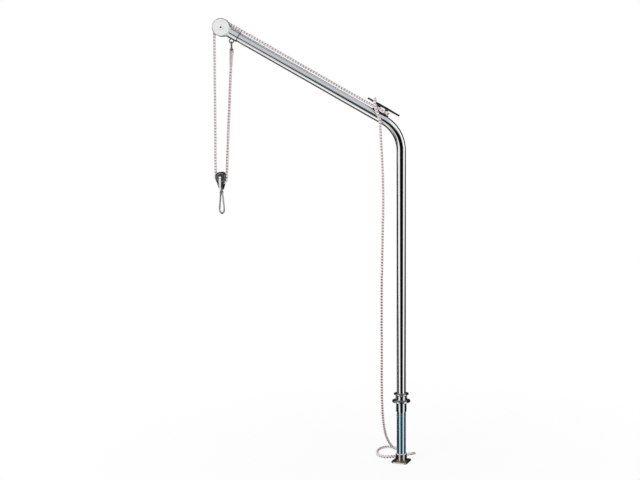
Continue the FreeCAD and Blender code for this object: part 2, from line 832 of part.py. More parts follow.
def block_cheek(name, y, facing):
    """Teardrop cheek: large round at the sheave, tangent sides and small toe, rounded on its outer face."""
    big = size("block_cheek_width") / 2
    toe = size("block_cheek_toe")
    thick = size("block_cheek_thickness")
    crown = size("block_cheek_top") - big
    low = toe - size("block_cheek_bottom")
    lean = math.asin((big - toe) / (crown - low))

    def rim(centre, radius, angle):
        return Vector(radius * math.cos(angle), 0, centre + radius * math.sin(angle))

    upper = [rim(crown, big, angle) for angle in (-lean, math.pi / 2, math.pi + lean)]
    lower = [rim(low, toe, angle) for angle in (math.pi + lean, -math.pi / 2, -lean)]
    outline = Part.Wire([
        Part.Arc(*upper).toShape(),
        Part.LineSegment(upper[-1], lower[0]).toShape(),
        Part.Arc(*lower).toShape(),
        Part.LineSegment(lower[-1], upper[0]).toShape(),
    ])
    slab = Part.Face(outline).extrude(Y_AXIS * (facing * thick))
    outside = [edge for edge in slab.Edges if all(abs(v.Y - facing * thick) < FLAT for v in edge.Vertexes)]
    rounded = slab.makeFillet(size("block_cheek_round"), outside)
    holes = [
        pin_across(size("block_axle_od") / 2, 2 * thick, Vector(0, facing * thick / 2, 0)),
        pin_across(size("tie_od") / 2, 2 * thick, Vector(0, facing * thick / 2, -size("tie_drop"))),
    ]
    made = doc.addObject("Part::Feature", name)
    made.Shape = rounded.cut(holes)
    aside = block_rotation().multVec(Y_AXIS) * y
    made.Placement = Placement(block_point(0, 0) + aside, block_rotation())
    return made


def block_cheek_front():
    return block_cheek("front_cheek", -size("block_gap") / 2, -1)


def block_cheek_rear():
    return block_cheek("rear_cheek", size("block_gap") / 2, 1)


def block_strap():
    """Stainless strap down both cheeks, bridged under the block for the swivel."""
    inner = "strap_r - strap_thickness"
    half = "strap_width / 2"
    sides = ("-strap_r", inner)
    legs = [
        box("strap_leg_%d" % k, "strap_width", "strap_thickness", "-bridge_bottom",
            x="-" + half, y=y, z="bridge_bottom")
        for k, y in enumerate(sides)
    ]
    tops = [
        cylinder("strap_top_%d" % k, half, "strap_thickness", y=y, rotation=ALONG_Y)
        for k, y in enumerate(sides)
    ]
    bridge = box("strap_bridge_bar", "strap_width", "2 * strap_r", "strap_bridge",
                 x="-" + half, y="-strap_r", z="bridge_bottom")
    boss = cylinder("strap_boss", "stud_head_od / 2", "strap_bridge", z="bridge_bottom")
    axle = cylinder("strap_axle_hole", "block_axle_od / 2", "2 * strap_r", y="-strap_r", rotation=ALONG_Y)
    tie = cylinder("strap_tie_hole", "tie_od / 2", "2 * strap_r",
                   y="-strap_r", z="-tie_drop", rotation=ALONG_Y)
    stud = cylinder("strap_stud_hole", "stud_od / 2 + running_clearance", "strap_bridge", z="bridge_bottom")
    return at_block(cut("strap", fuse("strap_body", bridge, boss, *(legs + tops)), axle, tie, stud))


def rivet(name, shank, head, spacer=None):
    """Rivet along Y through strap and cheeks, with an optional spacer between the cheeks."""
    middle = []
    if spacer:
        middle = [
            (shank, "-block_gap / 2"),
            (spacer, "-block_gap / 2"),
            (spacer, "block_gap / 2"),
            (shank, "block_gap / 2"),
        ]
    return turned(name, [
        ("0", "-strap_r - rivet_head_height"),
        (head + " - rivet_head_slope", "-strap_r - rivet_head_height"),
        (head, "-strap_r"),
        (shank, "-strap_r"),
        *middle,
        (shank, "strap_r"),
        (head, "strap_r"),
        (head + " - rivet_head_slope", "strap_r + rivet_head_height"),
        ("0", "strap_r + rivet_head_height"),
    ])


def block_axle():
    return at_block(rivet("block_axle_pin", "block_axle_od / 2", "block_axle_head_od / 2"), ALONG_Y)


def block_tie():
    pin = rivet("block_tie_pin", "tie_od / 2", "tie_head_od / 2", "tie_spacer_od / 2")
    return place(pin, x="block_x", z="block_z - tie_drop", rotation=block_rotation(ALONG_Y))


def block_sheave():
    wheel = sheave("block_wheel", "block_pitch", "block_rim", "block_sheave_width", "block_bush_r")
    return at_block(wheel, ALONG_Y)


def block_sheave_bush():
    inner = "block_axle_od / 2 + running_clearance"
    bush = annulus("block_bush", "block_bush_r", inner, "block_sheave_width", "-block_sheave_width / 2")
    return at_block(bush, ALONG_Y)


def swivel_eye():
    """Stud through the strap's bridge, with a ring below it."""
    stud = turned("swivel_stud", [
        ("0", "bridge_top + swivel_gap + stud_head_height"),
        ("stud_head_od / 2 - rim_edge", "bridge_top + swivel_gap + stud_head_height"),
        ("stud_head_od / 2", "bridge_top + swivel_gap + stud_head_height - rim_edge"),
        ("stud_head_od / 2", "bridge_top + swivel_gap"),
        ("stud_od / 2", "bridge_top + swivel_gap"),
        ("stud_od / 2", "bridge_bottom - swivel_gap"),
        ("stud_collar_od / 2", "bridge_bottom - swivel_gap"),
        ("stud_collar_od / 2 - rim_edge", "bridge_bottom - swivel_gap - stud_collar_height"),
        ("0", "bridge_bottom - swivel_gap - stud_collar_height"),
    ])
    eye = ring("swivel_ring", "eye_radius", "eye_rod / 2", z="eye_centre", rotation=ALONG_X)
    return turn(fuse("swivel", stud, eye), Vector(0, 0, -1), "hook_turn", x="block_x", z="block_z")


RUN_SHARE = 0.45
GAP_STEP = 0.25
GAP_APART = 4


def rope_run(points, radii):
    """Straight runs with tangent arcs, each as large as its two runs allow unless a radius is given."""
    edges = []
    made = []
    last = points[0]
    for k in range(1, len(points) - 1):
        before = points[k - 1] - points[k]
        after = points[k + 1] - points[k]
        turning = math.pi - before.getAngle(after)
        radius = radii.get(k)
        if radius is None:
            radius = RUN_SHARE * min(before.Length, after.Length) / math.tan(turning / 2)
        reach_back = radius * math.tan(turning / 2)
        into = points[k] + before.normalize() * reach_back
        out = points[k] + after.normalize() * reach_back
        middle = (before + after).normalize() * (radius / math.cos(turning / 2) - radius)
        if (into - last).Length > FLAT:
            edges.append(Part.LineSegment(last, into).toShape())
        edges.append(Part.Arc(into, points[k] + middle, out).toShape())
        made.append(round(radius, 1))
        last = out
    edges.append(Part.LineSegment(last, points[-1]).toShape())
    return edges, made


def least_gap(wire):
    """Clear width between stretches of one rope that aren't next to each other, measured on points."""
    rope = size("rope_od")
    count = int(wire.Length / (GAP_STEP * rope))
    points = wire.discretize(count + 1)
    apart = int(GAP_APART / GAP_STEP)
    pairs = ((one, two) for k, one in enumerate(points) for two in points[k + apart:])
    return min((one.distanceToPoint(two) for one, two in pairs), default=wire.Length) - rope


def rope_solid(name, edges, radii=(), thickness="rope_od"):
    """A round rope along the edges, its volume compared with section times length."""
    radius = size(thickness) / 2
    wire = Part.Wire(edges)
    first = wire.OrderedEdges[0]
    start = first.valueAt(first.FirstParameter)
    along = first.tangentAt(first.FirstParameter)
    section = Part.Wire(Part.makeCircle(radius, start, along))
    solid = wire.makePipeShell([section], True, False)
    made = doc.addObject("Part::Feature", name)
    made.Shape = solid
    expected = math.pi * radius ** 2 * wire.Length
    ratio = solid.Volume / expected
    print("%s length %.1f volume ratio %.5f radii %s" % (name, wire.Length, ratio, list(radii)))
    print("%s least gap to itself %.2f" % (name, least_gap(wire)))
    return made


def arm_point(x, y, z):
    """A point of the arm's frame in the davit's frame."""
    angle = math.radians(size("arm_angle"))
    along = Vector(math.cos(angle), 0, -math.sin(angle))
    up = Vector(math.sin(angle), 0, math.cos(angle))
    return Vector(-size("reach"), y, size("head_z")) + along * x + up * z


def cleat_point(x, y, z):
    """A point of the cleat's frame, whose origin is on top of the tube under the cleat."""
    return arm_point(size("cleat_station") + x, y, size("tube_r") + z)


def shackle_pin_point():
    return Vector(size("becket_x"), 0, size("bow_top") - size("pin_drop"))


def fall_lean():
    """Angle by which the fixed fall leans from plumb, in the block's sheave plane."""
    gap = shackle_pin_point() - block_point(0, 0)
    across = gap.dot(block_rotation().multVec(X_AXIS))
    return math.atan2(across, gap.z) - math.asin(size("block_pitch") / math.hypot(across, gap.z))


def fall_knee():
    """Point of the fixed fall above the block, up to which it stays in the sheave's plane."""
    lean = fall_lean()
    pitch = size("block_pitch")
    knee = size("fall_knee")
    return block_point(
        pitch * math.cos(lean) + knee * math.sin(lean),
        knee * math.cos(lean) - pitch * math.sin(lean),
    )


def fall_frame():
    """The fixed fall's frame: origin on the shackle's pin, -Z along the fall."""
    pin = shackle_pin_point()
    return Placement(pin, Rotation(Z_AXIS * -1, fall_knee() - pin))


def eye_bend():
    """Radius of the eye's middle line round the shackle's pin."""
    return (size("shackle_pin_od") + size("eye_od")) / 2 + size("link_gap")


def rope_becket_eye():
    """Eye of the rope's core, drawn tight over the shackle's pin."""
    bend = eye_bend()
    low = -size("eye_leg")
    edges = [
        Part.LineSegment(Vector(-bend, 0, low), Vector(-bend, 0, 0)).toShape(),
        Part.Arc(Vector(-bend, 0, 0), Vector(0, 0, bend), Vector(bend, 0, 0)).toShape(),
        Part.LineSegment(Vector(bend, 0, 0), Vector(bend, 0, low)).toShape(),
    ]
    made = rope_solid("rope_eye", edges, [round(bend, 1)], "eye_od")
    made.Placement = fall_frame()
    return made


def rope_splice():
    """Tapered splice from the two legs of the eye down to the single rope."""
    rope = size("rope_od") / 2
    core = size("eye_od") / 2
    top = -size("eye_leg")
    drop = size("splice_length")
    swell = size("splice_swell")
    widths = (eye_bend() + core, size("splice_waist"), rope + swell / 2)
    depths = (core + swell, rope + swell, rope)
    sections = []
    for k, (wide, deep) in enumerate(zip(widths, depths)):
        curve = Part.Ellipse(Vector(0, 0, top - drop * k / 2), wide, deep)
        sections.append(Part.Wire(curve.toShape()))
    made = doc.addObject("Part::Feature", "splice")
    made.Shape = Part.makeLoft(sections, True)
    made.Placement = fall_frame()
    return made


def rope_falls():
    """Fixed fall down to the block, half way round its sheave, and up to the head."""
    lean = fall_lean()
    pitch = size("block_pitch")
    start = fall_frame().multVec(Vector(0, 0, -size("eye_leg") - size("splice_length")))
    right = block_point(pitch * math.cos(lean), -pitch * math.sin(lean))
    left = block_point(-pitch, 0)
    head = Vector(-size("reach") - size("head_pitch"), 0, size("head_z"))
    knee = Vector(0, 0, size("fall_knee"))
    fixed, fixed_radii = rope_run([start, fall_knee(), right], {})
    moving, moving_radii = rope_run([left, left + knee, head - knee, head], {})
    round_block = Part.Arc(right, block_point(0, -pitch), left).toShape()
    return rope_solid("falls", fixed + [round_block] + moving, fixed_radii + [pitch] + moving_radii)


CLEAT_ENTRY = -95


def rope_arm_run():
    """Over the head's sheave and tight along the top of the arm."""
    pitch = size("head_pitch")
    axle = Vector(-size("reach"), 0, size("head_z"))
    climb = math.radians(90 - size("arm_angle"))
    crown = (math.pi + climb) / 2
    left = axle + Vector(-pitch, 0, 0)
    over = axle + Vector(math.cos(crown), 0, math.sin(crown)) * pitch
    top = arm_point(0, 0, pitch)
    end = arm_point(size("cleat_station") + CLEAT_ENTRY, 0, pitch)
    edges = [Part.Arc(left, over, top).toShape(), Part.LineSegment(top, end).toShape()]
    return rope_solid("arm_run", edges, [pitch])


# Route round the cleat, from the arm's run: along the front, round the rear leg, back along the rear side,
# over the forward horn and down across the front of the tube. Points of the cleat's frame.
CLEAT_ROUTE = [
    (-74, 0, 9.5),
    (-46, -10, 10.3),
    (-20, -13.2, 11.5),
    (30.2, -13.2, 11.5),
    (30.2, 13.2, 11.5),
    (2, 13.2, 11.8),
    (-22, 13.4, 14),
    (-39, 12.5, 25),
    (-46, 7.5, 39),
    (-47, -7.5, 39),
    (-42, -18, 27),
    (-33, -25.5, 14),
    (-22, -28, 3),
    (-8, -28.5, -8),
]
LEG_TURN = 13.2
LEG_CORNERS = (4, 5)

# Route of the hanging end: from the front of the arm to the floor behind the post, folded back to the left,
# round and past the heel to the right. Points of the davit's frame.
TAIL_ROUTE = [
    (-88, -28, 1456),
    (-86.5, -29, 1420),
    (-83, -29.5, 1362),
    (-78, -29.5, 1276),
    (-74.5, -29, 1146),
    (-77.5, -28, 985),
    (-81.5, -26, 815),
    (-83, -22, 650),
    (-82.5, -15, 490),
    (-83.5, -4, 365),
    (-83, 10, 272),
    (-80, 29, 196),
    (-75, 54, 134),
    (-66, 80, 86),
    (-51, 105, 47),
    (-33, 127, 20),
    (-21, 153, 8),
    (-32, 181, 6),
    (-62, 190, 6),
    (-88, 173, 6),
    (-103, 144, 6),
    (-107, 111, 6),
    (-102, 77, 6),
    (-82, 50, 6),
    (-50, 44, 6),
    (-18, 57, 6),
    (13, 73, 6),
    (43, 88, 6),
]


def tail_split():
    """Middle of the run in which the cleat's rope becomes the hanging end."""
    return (cleat_point(*CLEAT_ROUTE[-1]) + Vector(*TAIL_ROUTE[0])) * 0.5


def rope_cleat_turns():
    """One turn round the cleat's rear leg and over its forward horn."""
    entry = arm_point(size("cleat_station") + CLEAT_ENTRY, 0, size("head_pitch"))
    points = [entry] + [cleat_point(*point) for point in CLEAT_ROUTE] + [tail_split()]
    edges, radii = rope_run(points, {corner: LEG_TURN for corner in LEG_CORNERS})
    return rope_solid("cleat_turns", edges, radii)


def rope_tail():
    """The hanging end, down to the floor and once round beside the heel."""
    points = [tail_split()] + [Vector(*point) for point in TAIL_ROUTE]
    edges, radii = rope_run(points, {})
    return rope_solid("tail", edges, radii)


def rope_whipping():
    """Whipped tip of the rope."""
    end = Vector(*TAIL_ROUTE[-1])
    along = end - Vector(*TAIL_ROUTE[-2])
    radius = size("whipping_od") / 2
    lifted = end + Vector(0, 0, radius - size("rope_od") / 2)
    made = doc.addObject("Part::Feature", "whipping")
    made.Shape = Part.makeCylinder(radius, size("whipping_length"), lifted, along)
    return made


def hook_lines():
    """Centre lines of the snap hook in its own plane: origin on the swing axis, +X to the back."""
    rod = size("hook_rod") / 2
    top = size("eye_rod") / 2 + size("hook_link_gap") + rod
    low = size("hook_width") / 2 - rod
    drop = size("hook_length") - top - low - 2 * rod
    lean = math.asin((low - top) / drop)
    return rod, top, low, drop, lean


def gate_point(distance):
    """A point on the gate's line, measured down from the crown's tangent point."""
    rod, top, low, drop, lean = hook_lines()
    x = -top * math.cos(lean) - distance * math.sin(lean)
    z = top * math.sin(lean) - distance * math.cos(lean)
    return Vector(x, 0, z)


def at_hook(name, shape):
    """A shape of the hook's frame, which hangs in the swivel's ring."""
    made = doc.addObject("Part::Feature", name)
    made.Shape = shape
    pivot = size("block_z") + size("eye_centre") - size("eye_radius")
    made.Placement = Placement(Vector(size("block_x"), 0, pivot), Rotation(Z_AXIS, -size("hook_turn")))
    return made


def slab_along_gate(thickness, width, start, end):
    """A flat bar along the gate's line, centred on the hook's plane."""
    lean = hook_lines()[-1]
    bar = Part.makeBox(width, thickness, end - start, Vector(-width / 2, -thickness / 2, -(end - start)))
    bar.Placement = Placement(gate_point(start), Rotation(Y_AXIS, math.degrees(lean)))
    return bar


def hook_body():
    """Pear-shaped snap hook bent from rod, with the flat tongue that carries the gate."""
    rod, top, low, drop, lean = hook_lines()
    foot = Vector(0, 0, -drop)
    crown_in = gate_point(0)
    crown_out = Vector(-crown_in.x, 0, crown_in.z)
    toe_in = foot + Vector(math.cos(lean), 0, math.sin(lean)) * low
    toe_out = Vector(-toe_in.x, 0, toe_in.z)
    nose = gate_point(size("gate_end") + size("nose_gap"))
    stub = gate_point(size("stub_length"))
    edges = [
        Part.LineSegment(stub, crown_in).toShape(),
        Part.Arc(crown_in, Vector(0, 0, top), crown_out).toShape(),
        Part.LineSegment(crown_out, toe_in).toShape(),
        Part.Arc(toe_in, foot + Vector(0, 0, -low), toe_out).toShape(),
        Part.LineSegment(toe_out, nose).toShape(),
    ]
    section = Part.Wire(Part.makeCircle(rod, stub, crown_in - stub))
    bar = Part.Wire(edges).makePipeShell([section], True, False)
    pivot = gate_point(size("gate_pivot"))
    flat = size("tongue_thickness")
    tongue = slab_along_gate(flat, size("tongue_od"), size("stub_length") - rod, size("gate_pivot"))
    knuckle = pin_across(size("tongue_od") / 2, flat, pivot)
    hole = pin_across(size("gate_rivet_od") / 2, flat, pivot)
    return at_hook("hook", bar.fuse([tongue, knuckle]).cut(hole).removeSplitter())


def hook_gate():
    """Round gate, forked over the tongue and bored for its spring."""
    radius = size("gate_od") / 2
    start = gate_point(size("gate_start"))
    end = gate_point(size("gate_end"))
    bar = Part.makeCylinder(radius, (end - start).Length, start, end - start)
    fork = slab_along_gate(size("gate_slot"), 2 * size("gate_od"), size("gate_start"), size("gate_slot_end"))
    bearing = size("gate_rivet_od") / 2 + size("running_clearance")
    hole = pin_across(bearing, size("gate_od"), gate_point(size("gate_pivot")))
    seat = gate_point(size("gate_slot_end"))
    bore = Part.makeCylinder(size("spring_od") / 2, size("spring_length"), seat, end - start)
    return at_hook("gate", bar.cut([fork, hole, bore]))


def gate_rivet():
    """Rivet of the gate, fast in the tongue."""
    pivot = gate_point(size("gate_pivot"))
    return at_hook("rivet", pin_across(size("gate_rivet_od") / 2, size("gate_od"), pivot))


def gate_spring():
    """Spring in the gate's bore, as one plain sleeve."""
    seat = gate_point(size("gate_slot_end"))
    along = gate_point(size("gate_end")) - seat
    length = size("spring_length")
    outer = Part.makeCylinder(size("spring_od") / 2, length, seat, along)
    inner = Part.makeCylinder(size("spring_od") / 2 - size("spring_wall"), length, seat, along)
    return at_hook("spring", outer.cut(inner))


BUILDERS = [
    base_socket, heel_bush, deck_collar, deck_bush,
    mast_tube, heel_plug, weather_ring,
    head_casting, head_axle_bolt, head_axle_nut, head_washers, head_sheave, head_sheave_bush,
    becket_eye, becket_shackle, becket_shackle_pin,
    horn_cleat, cleat_screws,
    block_cheek_front, block_cheek_rear, block_strap, block_axle, block_tie, block_sheave, block_sheave_bush,
    swivel_eye, hook_body, hook_gate, gate_rivet, gate_spring,
    rope_becket_eye, rope_splice, rope_falls, rope_arm_run, rope_cleat_turns, rope_tail, rope_whipping,
]

for build in BUILDERS:
    node(build.__name__, build())
doc.recompute()

for thing in doc.Objects:
    if "Invalid" in thing.State or "Error" in thing.State:
        raise RuntimeError("%s failed: %s" % (thing.Name, thing.State))
for name, thing in NODES.items():
    if thing.Shape.isNull() or not thing.Shape.isValid() or not thing.Shape.Solids:
        raise RuntimeError("%s has no valid solid" % name)

os.makedirs("parts", exist_ok=True)
for name, thing in NODES.items():
    thing.Shape.exportStep("parts/%s.step" % name)
    print("%s: %d solids, %.1f mm3" % (name, len(thing.Shape.Solids), thing.Shape.Volume))
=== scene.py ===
import math

import bpy
import numpy as np
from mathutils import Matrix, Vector


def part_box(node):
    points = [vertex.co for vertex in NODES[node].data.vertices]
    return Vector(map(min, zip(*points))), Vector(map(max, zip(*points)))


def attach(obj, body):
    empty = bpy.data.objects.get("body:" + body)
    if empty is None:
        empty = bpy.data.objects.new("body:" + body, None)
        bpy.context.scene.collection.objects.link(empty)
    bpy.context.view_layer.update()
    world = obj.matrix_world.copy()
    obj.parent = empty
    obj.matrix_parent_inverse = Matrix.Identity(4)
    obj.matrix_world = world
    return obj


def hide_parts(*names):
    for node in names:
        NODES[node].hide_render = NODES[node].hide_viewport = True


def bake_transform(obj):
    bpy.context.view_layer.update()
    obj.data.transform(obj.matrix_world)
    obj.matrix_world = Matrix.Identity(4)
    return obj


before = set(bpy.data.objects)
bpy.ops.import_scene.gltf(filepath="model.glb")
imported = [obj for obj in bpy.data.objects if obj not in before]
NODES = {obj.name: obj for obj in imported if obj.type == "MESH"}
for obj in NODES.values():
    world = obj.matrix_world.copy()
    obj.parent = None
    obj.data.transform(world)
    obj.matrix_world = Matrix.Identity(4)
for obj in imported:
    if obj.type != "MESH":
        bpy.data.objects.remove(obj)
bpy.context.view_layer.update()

SCENE = bpy.context.scene


def middle(node):
    low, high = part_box(node)
    return (low + high) / 2


# Places and sizes of the frame, in metres
HEAD = middle("head_sheave")
BLOCK = middle("block_sheave")
PIN = middle("becket_shackle_pin") * Vector((1, 0, 1))
ARM_ANGLE = math.radians(29.6)
ALONG_ARM = Vector((math.cos(ARM_ANGLE), 0, -math.sin(ARM_ANGLE)))
OFF_ARM = Vector((math.sin(ARM_ANGLE), 0, math.cos(ARM_ANGLE)))
ARM_REACH = 0.735
CLEAT_SETBACK = 0.1103
TUBE_RADIUS = 0.020
CLEAT = HEAD + ALONG_ARM * (ARM_REACH / math.cos(ARM_ANGLE) - CLEAT_SETBACK) + OFF_ARM * TUBE_RADIUS
ROPE_RADIUS = 0.006
HEAD_PITCH = 0.0295
SLEEVE_END = 0.080
BLOCK_PITCH = 0.0243
BLOCK_TURN = math.radians(14)
BLOCK_ACROSS = Vector((math.cos(BLOCK_TURN), -math.sin(BLOCK_TURN), 0))
RIGHT = Vector((1, 0, 0))
UP = Vector((0, 0, 1))


# Camera at the photograph's view
CAMERA_PLACE = (0, -4.5, 1.488)
CAMERA_DIP = 6.75
CAMERA_LENS = 60.98
CAMERA_SENSOR = 36.0
CAMERA_SHIFT = -0.127


def make_camera():
    data = bpy.data.cameras.new("camera")
    data.lens = CAMERA_LENS
    data.sensor_width = CAMERA_SENSOR
    data.shift_x = CAMERA_SHIFT
    cam = bpy.data.objects.new("camera", data)
    cam.location = CAMERA_PLACE
    cam.rotation_euler = (math.radians(90 - CAMERA_DIP), 0, 0)
    SCENE.collection.objects.link(cam)
    SCENE.camera = cam


make_camera()


# Node helpers and materials

class Tree:
    """A short way to write a node tree."""

    def __init__(self, tree):
        self.tree = tree
        self.tree.nodes.clear()

    def add(self, kind, **values):
        node = self.tree.nodes.new(kind)
        for name, value in values.items():
            setattr(node, name, value)
        return node

    def link(self, source, target):
        self.tree.links.new(source, target)

    def math(self, operation, first, second=None):
        node = self.add("ShaderNodeMath", operation=operation)
        for socket, value in zip(node.inputs, (first, second)):
            if isinstance(value, (int, float)):
                socket.default_value = value
            elif value is not None:
                self.link(value, socket)
        return node.outputs[0]

    def noise(self, vector, scale, detail=3.0, roughness=0.55):
        node = self.add("ShaderNodeTexNoise")
        node.inputs["Scale"].default_value = scale
        node.inputs["Detail"].default_value = detail
        node.inputs["Roughness"].default_value = roughness
        self.link(vector, node.inputs["Vector"])
        return node.outputs["Fac"]

    def stretch(self, vector, scale):
        node = self.add("ShaderNodeMapping")
        node.inputs["Scale"].default_value = scale
        self.link(vector, node.inputs["Vector"])
        return node.outputs["Vector"]

    def span(self, value, low, high, to_low, to_high):
        node = self.add("ShaderNodeMapRange")
        for name, number in zip(("From Min", "From Max", "To Min", "To Max"), (low, high, to_low, to_high)):
            node.inputs[name].default_value = number
        self.link(value, node.inputs["Value"])
        return node.outputs["Result"]

    def mix(self, factor, first, second):
        node = self.add("ShaderNodeMix", data_type="RGBA")
        for socket, value in ((node.inputs[0], factor), (node.inputs[6], first), (node.inputs[7], second)):
            if isinstance(value, (int, float)):
                socket.default_value = value
            elif isinstance(value, tuple):
                socket.default_value = (*value, 1.0)
            else:
                self.link(value, socket)
        return node.outputs[2]

    def reach(self, place, start, direction):
        """How far a place lies from a start, along a direction."""
        node = self.add("ShaderNodeVectorMath", operation="DOT_PRODUCT")
        self.link(place, node.inputs[0])
        node.inputs[1].default_value = direction
        return self.math("SUBTRACT", node.outputs["Value"], start.dot(direction))

    def axes(self, vector):
        node = self.add("ShaderNodeSeparateXYZ")
        self.link(vector, node.inputs[0])
        return node.outputs

    def off_axle(self, place, axle):
        """Distance from an axle that runs along Y."""
        axes = self.axes(place)
        across = self.math("SUBTRACT", axes["X"], axle.x)
        up = self.math("SUBTRACT", axes["Z"], axle.z)
        return self.math("SQRT", self.math("ADD", self.math("MULTIPLY", across, across),
                                           self.math("MULTIPLY", up, up)))

    def bump(self, height, strength, distance):
        node = self.add("ShaderNodeBump")
        node.inputs["Strength"].default_value = strength
        node.inputs["Distance"].default_value = distance
        self.link(height, node.inputs["Height"])
        return node.outputs["Normal"]


def material(name, metallic=0.0, **values):
    """A material with one principled shader: the material, its tree, its shader and object coordinates."""
    made = bpy.data.materials.new(name)
    made.use_nodes = True
    tree = Tree(made.node_tree)
    out = tree.add("ShaderNodeOutputMaterial")
    shader = tree.add("ShaderNodeBsdfPrincipled")
    shader.inputs["Metallic"].default_value = metallic
    for socket, value in values.items():
        shader.inputs[socket.replace("_", " ")].default_value = value
    tree.link(shader.outputs[0], out.inputs["Surface"])
    place = tree.add("ShaderNodeTexCoord").outputs["Object"]
    return made, tree, shader, place


# Colour of painted shade in crevices: where the tube enters the sleeve, and in the casting's neck corners
# and along the sleeve's lip.
SHADED_SEAM = (0.05, 0.05, 0.055)
# Colour of the painted shade inside the bolt's key recess.
SHADED_PIT = (0.03, 0.03, 0.03)
SEAM_WIDTH = 0.002
FILM_EDGE = 0.004
FILM_METALLIC = 0.95
FILM_ROUGHER = 0.02


def steel(name, light, dark, rough, grain, metallic=1.0, film=None, pit_shade=None, seam_shade=None):
    """Worked stainless steel: cloudy tone, fine grain along the stated scale, smears in the gloss.

    A film tints it below a height, painted shade darkens it inside the bolt's key recess round the head's
    axle, and a painted shadow line darkens it just past a place along the arm, where the tube enters the
    sleeve."""
    made, tree, shader, place = material(name, metallic)
    cloud = tree.noise(place, 9.0, 4.0)
    lines = tree.noise(tree.stretch(place, grain), 1.0, 2.0)
    tone = tree.mix(tree.span(lines, 0.3, 0.7, 0.0, 0.35), light, dark)
    tone = tree.mix(tree.span(cloud, 0.35, 0.75, 0.0, 0.3), tone, dark)
    if film:
        colour, top = film
        below = tree.span(tree.axes(place)["Z"], top, top - FILM_EDGE, 0.0, 1.0)
        tone = tree.mix(below, tone, colour)
    # Painted shade inside the bolt's key recess round the head's axle.
    if pit_shade:
        key_shade = tree.span(tree.off_axle(place, HEAD), pit_shade, pit_shade * 0.9, 0.0, 1.0)
        tone = tree.mix(key_shade, tone, SHADED_PIT)
    # Painted shadow line on the tube where it enters the sleeve's end.
    if seam_shade:
        along = tree.reach(place, HEAD, ALONG_ARM)
        seam_shadow = tree.span(along, seam_shade + SEAM_WIDTH, seam_shade + SEAM_WIDTH / 2, 0.0, 0.9)
        tone = tree.mix(seam_shadow, tone, SHADED_SEAM)
    tree.link(tone, shader.inputs["Base Color"])
    smear = tree.noise(place, 34.0, 5.0, 0.65)
    gloss = tree.span(smear, 0.3, 0.8, rough[0], rough[1])
    if film:
        tree.link(tree.span(below, 0.0, 1.0, metallic, FILM_METALLIC), shader.inputs["Metallic"])
        gloss = tree.math("ADD", gloss, tree.math("MULTIPLY", below, FILM_ROUGHER))
    tree.link(gloss, shader.inputs["Roughness"])
    tree.link(tree.bump(lines, 0.08, 0.0002), shader.inputs["Normal"])
    return made


# Where the casting's looks change: off the head's axle, off the arm's line and along it
# Colour of the painted shade on the cheeks' rims; the rim, corner and lip bands below mark where shade is
# painted.
SHADED_RIM = (0.52, 0.54, 0.535)
RIM_BAND = (0.0318, 0.0335)
NECK_BAND = (0.0345, 0.0360)
POLISH_BAND = (0.0385, 0.043)
CORNER_BAND = (0.0195, 0.0215)
LIP_BAND = (SLEEVE_END - 0.003, SLEEVE_END - 0.0015)


def casting(name, light, dark):
    """Cast stainless: satin on the round cheeks, polished on the sleeve beyond them.

    The cheeks' rims, the corners of the neck and the sleeve's lip are darkened with painted shade."""
    made, tree, shader, place = material(name)
    grain = tree.noise(place, 420.0, 3.0)
    cloud = tree.noise(place, 60.0, 4.0)
    tone = tree.mix(tree.span(grain, 0.3, 0.7, 0.0, 0.6), light, dark)
    tone = tree.mix(tree.span(cloud, 0.4, 0.75, 0.0, 0.4), tone, dark)
    off_axle = tree.off_axle(place, HEAD)
    sleeve = tree.span(off_axle, *POLISH_BAND, 0.0, 1.0)
    # Painted shade on the cheeks' rounded rims.
    rim = tree.math("MULTIPLY", tree.span(off_axle, *RIM_BAND, 0.0, 0.6), tree.math("SUBTRACT", 1.0, sleeve))
    tone = tree.mix(rim, tone, SHADED_RIM)
    # Painted shade in the neck's corners and along the sleeve's lip.
    off_arm = tree.math("ABSOLUTE", tree.reach(place, HEAD, OFF_ARM))
    corner = tree.math("MULTIPLY", tree.span(off_arm, *CORNER_BAND, 0.0, 0.95),
                       tree.span(off_axle, *NECK_BAND, 0.0, 1.0))
    lip = tree.span(tree.reach(place, HEAD, ALONG_ARM), *LIP_BAND, 0.0, 0.9)
    tone = tree.mix(tree.math("MAXIMUM", corner, lip), tone, SHADED_SEAM)
    tree.link(tone, shader.inputs["Base Color"])
    tree.link(tree.span(sleeve, 0.0, 1.0, 0.30, 1.0), shader.inputs["Metallic"])
    satin = tree.span(cloud, 0.3, 0.7, 0.36, 0.5)
    polish = tree.span(cloud, 0.3, 0.7, 0.06, 0.14)
    tree.link(tree.mix(sleeve, satin, polish), shader.inputs["Roughness"])
    tree.link(tree.bump(grain, 0.06, 0.0002), shader.inputs["Normal"])
    return made


# Grey of the painted highlight along the block cheeks' rims.
RIM_HIGHLIGHT_GREY = (0.34, 0.35, 0.36)


